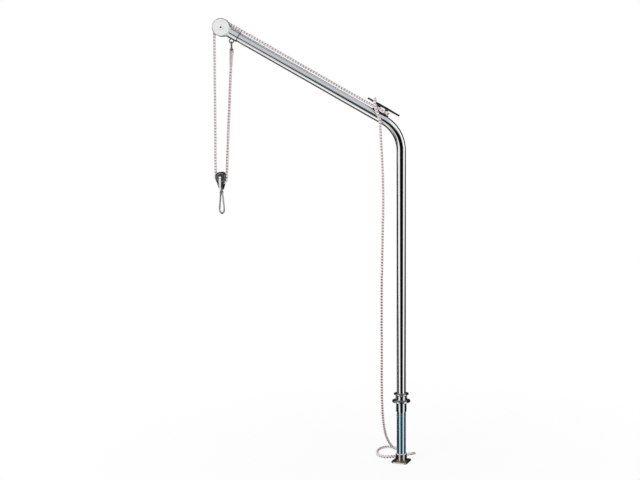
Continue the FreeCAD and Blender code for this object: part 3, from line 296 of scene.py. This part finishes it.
def plastic(name, light, dark, rough, speckle, highlight_rim=None):
    """Moulded plastic: uneven tone, fine leathery bump, gloss uneven from rubbing.

    A ring at a stated distance from the block's axle carries a painted grey highlight."""
    made, tree, shader, place = material(name)
    cloud = tree.noise(place, 40.0, 4.0)
    tone = tree.mix(tree.span(cloud, 0.35, 0.7, 0.0, 1.0), dark, light)
    rub_and_highlight = tree.noise(place, 120.0, 3.0)
    # Painted highlight: a grey streak along a ring on the cheek, broken up by the same noise that varies the
    # gloss.
    if highlight_rim:
        off_rim = tree.math("ABSOLUTE", tree.math("SUBTRACT", tree.off_axle(place, BLOCK), highlight_rim))
        rim_highlight = tree.math("MULTIPLY", tree.span(off_rim, 0.0020, 0.0006, 0.0, 1.0),
                         tree.span(rub_and_highlight, 0.35, 0.6, 0.2, 0.8))
        tone = tree.mix(rim_highlight, tone, RIM_HIGHLIGHT_GREY)
    tree.link(tone, shader.inputs["Base Color"])
    tree.link(tree.span(rub_and_highlight, 0.3, 0.7, rough[0], rough[1]), shader.inputs["Roughness"])
    grain = tree.noise(place, speckle, 2.0)
    tree.link(tree.bump(grain, 0.12, 0.0003), shader.inputs["Normal"])
    return made


# Lay of the rope, and where its flecks fade and its standing part hangs
LAY = 0.036
STRANDS = 3
FADE_HEIGHT = (0.75, 1.15)
STANDING_LEFT = (-0.746, -0.738)
STANDING_RIGHT = (-0.675, -0.685)
STANDING_TOP = (1.80, 1.77)


def rope_fibre():
    """Laid white rope, flecked red where tracer yarns surface; the lay runs in the mesh's UVs.

    The flecks are faded high up, but not on the standing part, which never runs through a sheave."""
    made, tree, shader, place = material("rope_fibre", Sheen_Weight=0.05, Sheen_Roughness=0.5)
    lay = tree.axes(tree.add("ShaderNodeUVMap", uv_map="lay").outputs[0])
    around, along = lay["X"], lay["Y"]
    strand = tree.math("FRACT", tree.math("MULTIPLY", around, STRANDS))
    off_crest = tree.math("ABSOLUTE", tree.math("SUBTRACT", strand, 0.5))
    yarn = tree.math("FRACT", tree.math("ADD", tree.math("MULTIPLY", around, 18.0),
                                        tree.math("MULTIPLY", along, 12.0)))
    yarn_edge = tree.math("ABSOLUTE", tree.math("SUBTRACT", yarn, 0.5))
    dapple = tree.noise(place, 320.0, 3.0)
    drift = tree.noise(place, 14.0, 2.0)
    tone = tree.mix(tree.span(dapple, 0.3, 0.7, 0.0, 1.0), (0.96, 0.90, 0.89), (0.99, 0.945, 0.935))
    tone = tree.mix(tree.span(drift, 0.35, 0.7, 0.0, 0.25), tone, (0.84, 0.76, 0.74))
    # Painted shade in the valleys between strands.
    valley_shade = tree.span(off_crest, 0.20, 0.02, 0.0, 0.55)
    tone = tree.mix(valley_shade, tone, (0.46, 0.36, 0.36))
    # Painted shade in the grooves between yarns.
    tone = tree.mix(tree.span(yarn_edge, 0.42, 0.5, 0.0, 0.25), tone, (0.56, 0.47, 0.46))
    spin = tree.math("MULTIPLY", tree.math("ADD", around, along), 2.0)
    spin = tree.math("ADD", spin, tree.span(drift, 0.3, 0.7, -0.12, 0.12))
    off_row = tree.math("ABSOLUTE", tree.math("SUBTRACT", tree.math("FRACT", spin), 0.5))
    passed = tree.math("SUBTRACT", tree.math("MULTIPLY", along, STRANDS),
                       tree.math("MULTIPLY", tree.math("FLOOR", spin), STRANDS / 2))
    crown = tree.math("FRACT", tree.math("SUBTRACT", passed, 0.25))
    off_crown = tree.math("ABSOLUTE", tree.math("SUBTRACT", crown, 0.5))
    off_fleck = tree.math("ADD", tree.math("POWER", tree.math("DIVIDE", off_row, 0.34), 2.0),
                          tree.math("POWER", tree.math("DIVIDE", off_crown, 0.27), 2.0))
    spot = tree.axes(place)
    faded = tree.span(spot["Z"], *FADE_HEIGHT, 1.0, 0.66)
    standing = tree.math("MULTIPLY", tree.span(spot["X"], *STANDING_LEFT, 0.0, 1.0),
                         tree.span(spot["X"], *STANDING_RIGHT, 0.0, 1.0))
    standing = tree.math("MULTIPLY", standing, tree.span(spot["Z"], *STANDING_TOP, 0.0, 1.0))
    faded = tree.math("MAXIMUM", faded, tree.math("MULTIPLY", standing, 0.78))
    tone = tree.mix(tree.math("MULTIPLY", standing, 0.28), tone, (0.55, 0.42, 0.45))
    fleck = tree.math("MULTIPLY", tree.span(off_fleck, 1.2, 0.7, 0.0, 1.0), faded)
    tracer = tree.mix(tree.span(drift, 0.35, 0.65, 0.0, 1.0), (0.13, 0.075, 0.085), (0.28, 0.07, 0.09))
    tone = tree.mix(fleck, tone, tracer)
    tree.link(tone, shader.inputs["Base Color"])
    tree.link(tree.span(dapple, 0.2, 0.8, 0.75, 0.95), shader.inputs["Roughness"])
    tree.link(tree.bump(yarn_edge, 0.4, 0.0004), shader.inputs["Normal"])
    return made


def twine_fibre():
    """Waxed twine, twisted fine."""
    made, tree, shader, place = material("twine_fibre", Sheen_Weight=0.15)
    fuzz = tree.noise(place, 900.0, 3.0)
    wax = tree.noise(place, 90.0, 3.0)
    tone = tree.mix(tree.span(fuzz, 0.3, 0.7, 0.0, 1.0), (0.58, 0.50, 0.40), (0.80, 0.74, 0.64))
    tone = tree.mix(tree.span(wax, 0.4, 0.7, 0.0, 0.4), tone, (0.46, 0.38, 0.28))
    tree.link(tone, shader.inputs["Base Color"])
    tree.link(tree.span(wax, 0.3, 0.7, 0.45, 0.75), shader.inputs["Roughness"])
    tree.link(tree.bump(fuzz, 0.3, 0.0002), shader.inputs["Normal"])
    return made


BLUE_FILM = ((0.56, 0.81, 0.93), 0.222)
# Radius of the bolt's key recess, inside which shade is painted.
BOLT_KEY = 0.0038
# Radius of the painted highlight on the block's cheeks.
CHEEK_HIGHLIGHT_RIM = 0.0172
MATERIALS = {
    "tube": steel("polished_tube", (0.95, 0.95, 0.95), (0.86, 0.87, 0.88), (0.04, 0.10), (30, 30, 4),
                  film=BLUE_FILM, seam_shade=SLEEVE_END),
    "ring": steel("polished_ring", (0.92, 0.93, 0.94), (0.80, 0.82, 0.84), (0.05, 0.14), (60, 60, 400)),
    "cast": casting("satin_casting", (0.97, 0.985, 0.975), (0.89, 0.91, 0.90)),
    "bolt": steel("satin_bolt", (0.93, 0.94, 0.94), (0.82, 0.83, 0.83), (0.36, 0.5), (300, 300, 300), 0.3,
                  pit_shade=BOLT_KEY),
    "socket": steel("dark_socket", (0.72, 0.66, 0.58), (0.34, 0.29, 0.24), (0.08, 0.22), (120, 120, 400)),
    "collar": steel("polished_collar", (0.86, 0.88, 0.90), (0.62, 0.65, 0.68), (0.06, 0.18), (80, 80, 500)),
    "fitting": steel("bright_fitting", (0.86, 0.87, 0.88), (0.64, 0.65, 0.67), (0.08, 0.2), (400, 400, 400)),
    "strap": steel("rubbed_strap", (0.96, 0.96, 0.96), (0.88, 0.885, 0.89), (0.16, 0.3), (300, 300, 60)),
    "nylon": plastic("nylon", (0.80, 0.79, 0.74), (0.68, 0.67, 0.62), (0.45, 0.6), 900),
    "dark": steel("dark_fitting", (0.34, 0.35, 0.36), (0.13, 0.135, 0.14), (0.08, 0.2), (400, 400, 400)),
    "hook": steel("worn_hook", (0.72, 0.73, 0.74), (0.42, 0.425, 0.43), (0.06, 0.16), (400, 400, 400)),
    "weld": steel("brushed_weld", (0.30, 0.30, 0.31), (0.11, 0.11, 0.12), (0.2, 0.36), (500, 500, 500)),
    "black": plastic("black_moulding", (0.020, 0.021, 0.022), (0.007, 0.007, 0.008), (0.30, 0.46), 700),
    "cheek": plastic("black_cheek", (0.020, 0.021, 0.022), (0.007, 0.007, 0.008), (0.22, 0.36), 700,
                     CHEEK_HIGHLIGHT_RIM),
    "acetal": plastic("acetal", (0.045, 0.045, 0.047), (0.018, 0.018, 0.019), (0.35, 0.5), 800),
    "bronze": steel("bronze", (0.66, 0.47, 0.25), (0.42, 0.28, 0.14), (0.25, 0.4), (500, 500, 500)),
    "rope": rope_fibre(),
    "twine": twine_fibre(),
}
FINISH = {
    "tube": ["mast_tube"],
    "ring": ["weather_ring"],
    "cast": ["head_casting"],
    "bolt": ["head_axle_bolt"],
    "socket": ["base_socket"],
    "collar": ["deck_collar"],
    "fitting": ["head_axle_nut", "head_washers", "cleat_screws"],
    "dark": ["becket_eye", "becket_shackle", "becket_shackle_pin", "swivel_eye"],
    "hook": ["hook_body", "hook_gate", "gate_rivet", "gate_spring"],
    "strap": ["block_strap", "block_axle", "block_tie"],
    "nylon": ["heel_bush", "deck_bush", "heel_plug"],
    "black": ["horn_cleat"],
    "cheek": ["block_cheek_front", "block_cheek_rear"],
    "acetal": ["head_sheave", "block_sheave"],
    "bronze": ["head_sheave_bush", "block_sheave_bush"],
}


def dress(obj, finish):
    obj.data.materials.clear()
    obj.data.materials.append(MATERIALS[finish])


for finish, names in FINISH.items():
    for name in names:
        dress(NODES[name], finish)


# Rope meshes
RING_STEP = 0.002
RING_POINTS = 24
VALLEY_DEPTH = 0.26
VALLEY_POWER = 1.9


def spline_points(points):
    """Points read from a smooth curve whose control points are the route."""
    curve = bpy.data.curves.new("route", "CURVE")
    curve.dimensions = "3D"
    curve.resolution_u = 16
    spline = curve.splines.new("NURBS")
    spline.points.add(len(points) - 1)
    for target, point in zip(spline.points, points):
        target.co = (*point, 1.0)
    spline.order_u = 3
    spline.use_endpoint_u = True
    obj = bpy.data.objects.new("route", curve)
    SCENE.collection.objects.link(obj)
    mesh = bpy.data.meshes.new_from_object(obj)
    read = np.array([v.co[:] for v in mesh.vertices], float)
    bpy.data.meshes.remove(mesh)
    bpy.data.objects.remove(obj)
    bpy.data.curves.remove(curve)
    return read


def evenly(points, step):
    """The same line at even steps."""
    runs = np.linalg.norm(np.diff(points, axis=0), axis=1)
    points = points[np.concatenate([[True], runs > 1e-9])]
    along = np.concatenate([[0], np.cumsum(np.linalg.norm(np.diff(points, axis=0), axis=1))])
    places = np.linspace(0, along[-1], max(2, int(round(along[-1] / step)) + 1))
    return np.stack([np.interp(places, along, points[:, k]) for k in range(3)], axis=1), places


def strand_share(angles, strands):
    """Outline of laid strands as a share of the full radius: round crowns and sharp valleys."""
    share = 2 * math.pi / strands
    off = (angles + share / 2) % share - share / 2
    return 1 - VALLEY_DEPTH * (np.abs(off) / (share / 2)) ** VALLEY_POWER


def frames(line):
    """Unit vectors along a line, and two square to it that don't spin."""
    along = np.gradient(line, axis=0)
    along /= np.linalg.norm(along, axis=1)[:, None]
    side = np.cross(along[0], (0.31, 0.87, 0.39))
    sides = []
    for ahead in along:
        side = side - ahead * np.dot(side, ahead)
        side = side / np.linalg.norm(side)
        sides.append(side)
    sides = np.array(sides)
    return along, sides, np.cross(along, sides)


def rope_rings(line, places, radius):
    """Rings of a laid rope along the line; the radius is one number or one for each ring."""
    along, side, other = frames(line)
    angles = np.arange(RING_POINTS) * 2 * math.pi / RING_POINTS
    reach = strand_share(angles, STRANDS)[None, :] * np.broadcast_to(radius, len(line))[:, None]
    spun = angles[None, :] + 2 * math.pi * places[:, None] / LAY
    wide = np.cos(spun)[:, :, None] * side[:, None, :]
    deep = np.sin(spun)[:, :, None] * other[:, None, :]
    return line[:, None, :] + reach[:, :, None] * (wide + deep)


def tube_rings(line, radius, around):
    """Rings of a plain round tube along the line."""
    along, side, other = frames(line)
    angles = np.arange(around) * 2 * math.pi / around
    wide = np.cos(angles)[None, :, None] * side[:, None, :]
    deep = np.sin(angles)[None, :, None] * other[:, None, :]
    return line[:, None, :] + radius * (wide + deep)


def ring_mesh(name, rings, finish, places=None, strand_sets=1):
    """A closed mesh through the rings; with places it gets UVs of strand angle and length in lays."""
    count, around = rings.shape[:2]
    faces = []
    for k in range(count - 1):
        for a in range(around):
            b = (a + 1) % around
            faces.append((k * around + a, k * around + b, (k + 1) * around + b, (k + 1) * around + a))
    sides = len(faces)
    faces.append(tuple(reversed(range(around))))
    faces.append(tuple((count - 1) * around + a for a in range(around)))
    mesh = bpy.data.meshes.new(name)
    mesh.from_pydata(rings.reshape(-1, 3).tolist(), [], faces)
    mesh.polygons.foreach_set("use_smooth", [index < sides for index in range(len(faces))])
    if places is not None:
        layer = mesh.uv_layers.new(name="lay")
        for index, polygon in enumerate(mesh.polygons):
            closing = index < sides and index % around == around - 1
            for loop in polygon.loop_indices:
                ring, spot = divmod(mesh.loops[loop].vertex_index, around)
                share = 1.0 if closing and spot == 0 else spot / around
                layer.data[loop].uv = (share * strand_sets, places[ring] / LAY)
    obj = bpy.data.objects.new(name, mesh)
    SCENE.collection.objects.link(obj)
    dress(obj, finish)
    return obj


def rope_mesh(name, rings, places, strand_sets=1):
    return ring_mesh(name, rings, "rope", places, strand_sets)


def arc_corners(centre, pitch, start, end, count, across=RIGHT, up=UP):
    """Corners of the outline that a rope on a round thing follows, in degrees from its across direction."""
    step = (end - start) / count
    reach = pitch / math.cos(math.radians(step / 2))
    corners = []
    for k in range(count):
        angle = math.radians(start + step * (k + 0.5))
        corners.append(centre + (across * math.cos(angle) + up * math.sin(angle)) * reach)
    return corners


def cleat_point(x, y, z):
    return CLEAT + ALONG_ARM * (x / 1000) + Vector((0, y / 1000, 0)) + OFF_ARM * (z / 1000)


HEAD_LEFT = HEAD - RIGHT * HEAD_PITCH

# Fixed fall, block and hauling fall
STRAIGHT = 0.072
KNEE = 0.080
SPLICE_END = 0.070
BLOCK_CORNERS = 5
HEAD_CORNERS = 3


def fall_lean():
    """Angle by which the fixed fall leans from plumb, in the block's sheave plane."""
    gap = PIN - BLOCK
    across = gap.dot(BLOCK_ACROSS)
    return math.atan2(across, gap.z) - math.asin(BLOCK_PITCH / math.hypot(across, gap.z))


LEAN = fall_lean()
FALL_KNEE = BLOCK + BLOCK_ACROSS * (BLOCK_PITCH * math.cos(LEAN) + KNEE * math.sin(LEAN))
FALL_KNEE += UP * (KNEE * math.cos(LEAN) - BLOCK_PITCH * math.sin(LEAN))
DOWN = (FALL_KNEE - PIN).normalized()
ACROSS = Vector((-DOWN.z, 0, DOWN.x)).normalized()
DEEP = ACROSS.cross(DOWN)
FALL_TOP = PIN + DOWN * SPLICE_END


def fall_route():
    """Down from the splice, round the block with a corner on the run at each side, and up to the head."""
    left = BLOCK - BLOCK_ACROSS * BLOCK_PITCH
    lean = math.degrees(LEAN)
    corner = (180 - lean) / BLOCK_CORNERS
    route = [FALL_TOP, FALL_TOP + DOWN * STRAIGHT, FALL_KNEE]
    route += arc_corners(BLOCK, BLOCK_PITCH, corner - lean, -180 - corner, BLOCK_CORNERS + 2, BLOCK_ACROSS)
    route += [left + UP * KNEE, HEAD_LEFT - UP * KNEE, HEAD_LEFT]
    return route


def hang_from_pin(rope):
    """Bakes the rope's placement into its mesh."""
    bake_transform(rope)


def make_falls():
    line, places = evenly(spline_points(fall_route()), RING_STEP)
    rope = rope_mesh("falls_rope", rope_rings(line, places, ROPE_RADIUS), places)
    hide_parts("rope_falls")
    hang_from_pin(rope)


EYE_BEND = 0.0059
EYE_RADIUS = 0.0032


def at_eye(across, down):
    return PIN + ACROSS * across + DOWN * down


def make_eye():
    """Eye of the rope's core over the shackle's pin, its two legs running into the splice."""
    route = [at_eye(-0.0030, 0.030), at_eye(-0.0056, 0.016), at_eye(-EYE_BEND, 0.005)]
    route += arc_corners(PIN, EYE_BEND, 180, 0, 4, ACROSS, -DOWN)
    route += [at_eye(EYE_BEND, 0.005), at_eye(0.0056, 0.016), at_eye(0.0030, 0.030)]
    line, places = evenly(spline_points(route), RING_STEP / 2)
    eye = rope_mesh("eye_rope", rope_rings(line, places, EYE_RADIUS), places)
    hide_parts("rope_becket_eye")
    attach(eye, "mast")


SPLICE_STRANDS = 6
SPLICE_WIDTHS = [(0.0075, 0.0086, 0.0040), (0.014, 0.0090, 0.0052), (0.025, 0.0086, 0.0064),
                 (0.040, 0.0078, 0.0066), (0.058, 0.0067, 0.0063), (0.0715, 0.0058, 0.0058)]


def make_splice():
    """Tucked strands of the eye splice, tapering into the fall."""
    downs, wides, deeps = (np.array(row) for row in zip(*SPLICE_WIDTHS))
    places = np.arange(downs[0], downs[-1], RING_STEP / 2)
    angles = np.arange(2 * RING_POINTS) * math.pi / RING_POINTS
    rings = []
    for place in places:
        spun = angles + 2 * math.pi * place / LAY
        lumps = strand_share(angles, SPLICE_STRANDS)
        wide = np.interp(place, downs, wides) * lumps
        deep = np.interp(place, downs, deeps) * lumps
        centre = np.array(at_eye(0, place))
        rings.append(centre + np.outer(np.cos(spun) * wide, ACROSS) + np.outer(np.sin(spun) * deep, DEEP))
    splice = rope_mesh("splice_rope", np.array(rings)[:, ::-1], places,
                       SPLICE_STRANDS // STRANDS)
    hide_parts("rope_splice")
    hang_from_pin(splice)


# Route to and round the cleat in its own frame, and of the hanging end in the davit's frame, in millimetres
CLEAT_LEAD = (-167, 0, 9.5)
CLEAT_ROUTE = [
    (-95, 0, 9.5),
    (-74, 0, 9.5),
    (-46, -10, 10.3),
    (-20, -13.2, 11.5),
    (22.5, -13.2, 11.5),
    (30.2, -5.5, 11.5),
    (30.2, 5.5, 11.5),
    (22.5, 13.2, 11.5),
    (2, 13.2, 11.8),
    (-22, 13.4, 14),
    (-39, 12.5, 25),
    (-46, 7.5, 39),
    (-47, -7.5, 39),
    (-42, -18, 27),
    (-33, -25.5, 14),
    (-22, -28, 3),
    (-8, -28.5, -8),
]
TAIL_ROUTE = [
    (-88, -28, 1456),
    (-86.5, -29, 1420),
    (-83, -29.5, 1362),
    (-78, -29.5, 1276),
    (-74.5, -29, 1146),
    (-77.5, -28, 985),
    (-81.5, -26, 815),
    (-83, -22, 650),
    (-82.5, -15, 490),
    (-83.5, -4, 365),
    (-83, 10, 272),
    (-80, 29, 196),
    (-75, 54, 134),
    (-66, 80, 86),
    (-51, 105, 47),
    (-33, 127, 20),
    (-21, 153, 8),
    (-32, 181, 6),
    (-62, 190, 6),
    (-88, 173, 6),
    (-103, 144, 6),
    (-107, 111, 6),
    (-102, 77, 6),
    (-82, 50, 6),
    (-50, 44, 6),
    (-18, 57, 6),
    (13, 73, 6),
    (43, 88, 6),
    (60.5, 96.7, 6.4),
]


def haul_route():
    """Over the head, down the arm's top and round the cleat."""
    arm_top = 90 - math.degrees(ARM_ANGLE)
    route = [HEAD_LEFT] + arc_corners(HEAD, HEAD_PITCH, 180, arm_top, HEAD_CORNERS)
    leave = HEAD + OFF_ARM * HEAD_PITCH
    step = HEAD_PITCH * math.tan(math.radians((180 - arm_top) / (2 * HEAD_CORNERS)))
    route += [leave + ALONG_ARM * step, leave + ALONG_ARM * STRAIGHT]
    route += [cleat_point(*CLEAT_LEAD)]
    route += [cleat_point(*point) for point in CLEAT_ROUTE]
    return route


WHIPPING_LENGTH = 0.016
WHIPPING_TIP = 0.003
WHIPPED_RADIUS = 0.0054
WHIPPING_TAPER = 0.004
TWINE_RADIUS = 0.00046
TWINE_STEP = 0.00092
TWINE_POINTS = 18
TWINE_AROUND = 8


def make_whipping(line):
    """Twine wound tight round the rope's last stretch."""
    along, side, other = frames(line)
    walked = np.concatenate([[0], np.cumsum(np.linalg.norm(np.diff(line, axis=0), axis=1))])
    first = walked[-1] - WHIPPING_TIP - WHIPPING_LENGTH
    turns = WHIPPING_LENGTH / TWINE_STEP
    spots = np.linspace(0, turns, int(turns * TWINE_POINTS))
    wound = []
    for spot in spots:
        k = int(np.searchsorted(walked, first + spot * TWINE_STEP))
        angle = 2 * math.pi * spot
        point = line[k] + along[k] * (first + spot * TWINE_STEP - walked[k])
        wound.append(point + WHIPPED_RADIUS * (math.cos(angle) * side[k] + math.sin(angle) * other[k]))
    rings = tube_rings(np.array(wound), TWINE_RADIUS, TWINE_AROUND)
    twine = ring_mesh("whipping_twine", rings, "twine")
    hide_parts("rope_whipping")
    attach(twine, "mast")
    return twine


def whipped_radius(line):
    """Radius of the hanging end: drawn in under its whipping."""
    left = np.linalg.norm(np.diff(line, axis=0), axis=1)[::-1].cumsum()[::-1]
    left = np.concatenate([left, [0]])
    drawn = np.clip((left - WHIPPING_TIP - WHIPPING_LENGTH) / WHIPPING_TAPER, 0, 1)
    tip = np.clip(1 - left / WHIPPING_TIP, 0, 1)
    return WHIPPED_RADIUS + (ROPE_RADIUS - WHIPPED_RADIUS) * np.maximum(drawn, tip)


def make_haul():
    """Rope along the arm and round the cleat, and the hanging end that goes on from it."""
    belay = haul_route()
    tail = [Vector(point) / 1000 for point in TAIL_ROUTE]
    line, places = evenly(spline_points(belay + tail), RING_STEP)
    parting = (belay[-1] + tail[0]) / 2
    split = int(np.argmin(np.linalg.norm(line - np.array(parting), axis=1)))
    rings = rope_rings(line, places, whipped_radius(line))
    standing = rope_mesh("belayed_rope", rings[:split + 1], places[:split + 1])
    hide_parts("rope_arm_run", "rope_cleat_turns")
    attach(standing, "mast")
    hanging = rope_mesh("hanging_rope", rings[split:], places[split:])
    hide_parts("rope_tail")
    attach(hanging, "mast")
    path = line[split:]
    make_whipping(path)


make_falls()
make_eye()
make_splice()
make_haul()


# Weld beads
RIPPLE_POINTS = 8
RIPPLE_SHARE = 0.20
BEAD_POINTS = 10


def make_weld(name, radius, height, bead, ripples, body):
    """A rippled bead round the post's axis."""
    count = ripples * RIPPLE_POINTS
    angles = np.arange(count) * 2 * math.pi / count
    phase = (np.arange(count) % RIPPLE_POINTS) / RIPPLE_POINTS
    swell = bead * (1 - RIPPLE_SHARE + RIPPLE_SHARE * np.sqrt(1 - (2 * phase - 1) ** 2))
    around = np.arange(BEAD_POINTS) * 2 * math.pi / BEAD_POINTS
    verts, faces = [], []
    for angle, size in zip(angles, swell):
        for turn in around:
            reach = radius + size * math.cos(turn)
            verts.append((reach * math.cos(angle), reach * math.sin(angle), height + size * math.sin(turn)))
    for k in range(count):
        here = k * BEAD_POINTS
        there = (k + 1) % count * BEAD_POINTS
        for a in range(BEAD_POINTS):
            b = (a + 1) % BEAD_POINTS
            faces.append((here + a, there + a, there + b, here + b))
    mesh = bpy.data.meshes.new(name)
    mesh.from_pydata(verts, [], faces)
    mesh.polygons.foreach_set("use_smooth", [True] * len(faces))
    obj = bpy.data.objects.new(name, mesh)
    SCENE.collection.objects.link(obj)
    dress(obj, "weld")
    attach(obj, body)


make_weld("socket_weld", 0.0263, 0.0071, 0.0024, 34, "base")
make_weld("collar_weld", 0.0262, 0.2711, 0.0024, 36, "base")
make_weld("ring_weld", 0.0211, 0.3003, 0.0022, 30, "mast")


# Floor, world and lights
FLOOR_REACH = 60.0
FLOOR_DROP = 0.0005
SHADOW_REACH = (0.3, 1.6)
AMBIENT = (0.60, 0.60, 0.60)
CEILING = (0.55, 0.60, 0.64)
ZENITH = (0.05, 0.05, 0.06)
WHITE = (1.0, 1.0, 1.0)


def make_floor():
    """Pale floor, white to the camera away from the object and keeping its shadow near it."""
    mesh = bpy.data.meshes.new("floor")
    corners = [(x * FLOOR_REACH, y * FLOOR_REACH, 0) for x, y in ((-1, -1), (1, -1), (1, 1), (-1, 1))]
    mesh.from_pydata(corners, [], [(0, 1, 2, 3)])
    floor = bpy.data.objects.new("floor", mesh)
    floor.location.z = -FLOOR_DROP
    SCENE.collection.objects.link(floor)
    made, tree, shader, place = material("pale_floor", Roughness=0.9)
    grain = tree.noise(place, 3.0, 4.0)
    tree.link(tree.mix(tree.span(grain, 0.3, 0.7, 0.0, 1.0), (0.86, 0.86, 0.86), (0.90, 0.90, 0.90)),
              shader.inputs["Base Color"])
    white = tree.add("ShaderNodeEmission")
    white.inputs["Strength"].default_value = 1.0
    away = tree.add("ShaderNodeVectorMath", operation="LENGTH")
    tree.link(place, away.inputs[0])
    share = tree.span(away.outputs["Value"], *SHADOW_REACH, 0.88, 1.0)
    seen = tree.math("MULTIPLY", share, tree.add("ShaderNodeLightPath").outputs["Is Camera Ray"])
    blend = tree.add("ShaderNodeMixShader")
    tree.link(seen, blend.inputs[0])
    tree.link(shader.outputs[0], blend.inputs[1])
    tree.link(white.outputs[0], blend.inputs[2])
    out = next(node for node in tree.tree.nodes if node.type == "OUTPUT_MATERIAL")
    tree.link(blend.outputs[0], out.inputs["Surface"])
    floor.data.materials.append(made)
    floor.visible_glossy = False


def make_world():
    """Studio seen in the polish: white sweep with a dark gap in front, dark sides, grey ceiling.

    Bearings turn from the camera's side, and heights rise from the horizon."""
    world = bpy.data.worlds.new("studio")
    world.use_nodes = True
    SCENE.world = world
    tree = Tree(world.node_tree)
    turn = math.radians
    towards = tree.axes(tree.add("ShaderNodeTexCoord").outputs["Generated"])
    front = tree.math("MULTIPLY", towards["Y"], -1.0)
    bearing = tree.math("ARCTAN2", towards["X"], front)
    height = tree.math("ARCSINE", towards["Z"])
    sunk = tree.math("MINIMUM", height, 0.0)
    left = tree.math("ADD", bearing, tree.math("MULTIPLY", sunk, 2.6))
    left = tree.span(left, turn(-101), turn(-90), 0.01, 1.0)
    right = tree.math("SUBTRACT", bearing, tree.math("MULTIPLY", sunk, 1.8))
    right = tree.span(right, turn(92), turn(104), 1.0, 0.01)
    narrowed = tree.math("MULTIPLY", sunk, 0.83)
    raised = tree.span(height, turn(-1.5), turn(4), 0.0, turn(36))
    into = tree.math("SUBTRACT", tree.math("ADD", bearing, narrowed), raised)
    into = tree.span(into, turn(-44), turn(-32), 1.0, 0.004)
    past = tree.span(tree.math("SUBTRACT", bearing, narrowed), turn(44), turn(56), 0.004, 1.0)
    over = tree.span(height, turn(14), turn(30), 0.0, 1.0)
    under = tree.span(height, turn(-20), turn(-30), 0.0, 1.0)
    gap = tree.math("MAXIMUM", tree.math("MAXIMUM", into, past), tree.math("MAXIMUM", over, under))
    walls = tree.math("MULTIPLY", tree.math("MINIMUM", left, right), gap)
    aside = tree.math("ABSOLUTE", bearing)
    behind = tree.math("MULTIPLY", tree.span(aside, turn(146), turn(156), 0.0, 1.0),
                       tree.span(aside, turn(166), turn(174), 1.0, 0.02))
    behind = tree.math("MULTIPLY", behind, tree.span(height, turn(2), turn(8), 1.0, 0.0))
    walls = tree.math("MAXIMUM", walls, behind)
    above = tree.math("SUBTRACT", height, tree.span(front, -0.1, -0.5, 0.0, turn(18)))
    above = tree.math("SUBTRACT", above, tree.span(towards["X"], 0.46, 0.56, 0.0, turn(26)))
    studio = tree.mix(tree.span(above, turn(14), turn(34), 0.0, 1.0), walls, CEILING)
    studio = tree.mix(tree.span(height, turn(60), turn(72), 0.0, 1.0), studio, ZENITH)
    ground = tree.span(front, 0.26, 0.10, 1.0, 0.05)
    studio = tree.mix(tree.span(height, turn(-24), turn(-40), 0.0, 1.0), studio, ground)
    rays = tree.add("ShaderNodeLightPath")
    plain = tree.math("ADD", rays.outputs["Is Camera Ray"], rays.outputs["Is Transmission Ray"])
    seen = tree.mix(rays.outputs["Is Glossy Ray"], AMBIENT, studio)
    seen = tree.mix(plain, seen, WHITE)
    shown = tree.add("ShaderNodeBackground")
    tree.link(seen, shown.inputs["Color"])
    out = tree.add("ShaderNodeOutputWorld")
    tree.link(shown.outputs[0], out.inputs["Surface"])


LIT_POINT = Vector((-0.3, 0, 0.9))


def area_light(name, place, side, power):
    """A square soft box turned to the davit, not seen in its polish."""
    data = bpy.data.lights.new(name, "AREA")
    data.shape = "RECTANGLE"
    data.size = side
    data.size_y = side
    data.energy = power
    light = bpy.data.objects.new(name, data)
    light.location = place
    light.rotation_euler = (LIT_POINT - Vector(place)).to_track_quat("-Z", "Y").to_euler()
    light.visible_glossy = False
    SCENE.collection.objects.link(light)


make_floor()
make_world()
area_light("key", (-3.0, -3.5, 3.2), 2.0, 66)
area_light("fill", (3.0, -3.0, 2.2), 2.0, 34)
area_light("back", (0.5, 3.5, 3.5), 2.5, 44)
SCENE.view_settings.view_transform = "Standard"
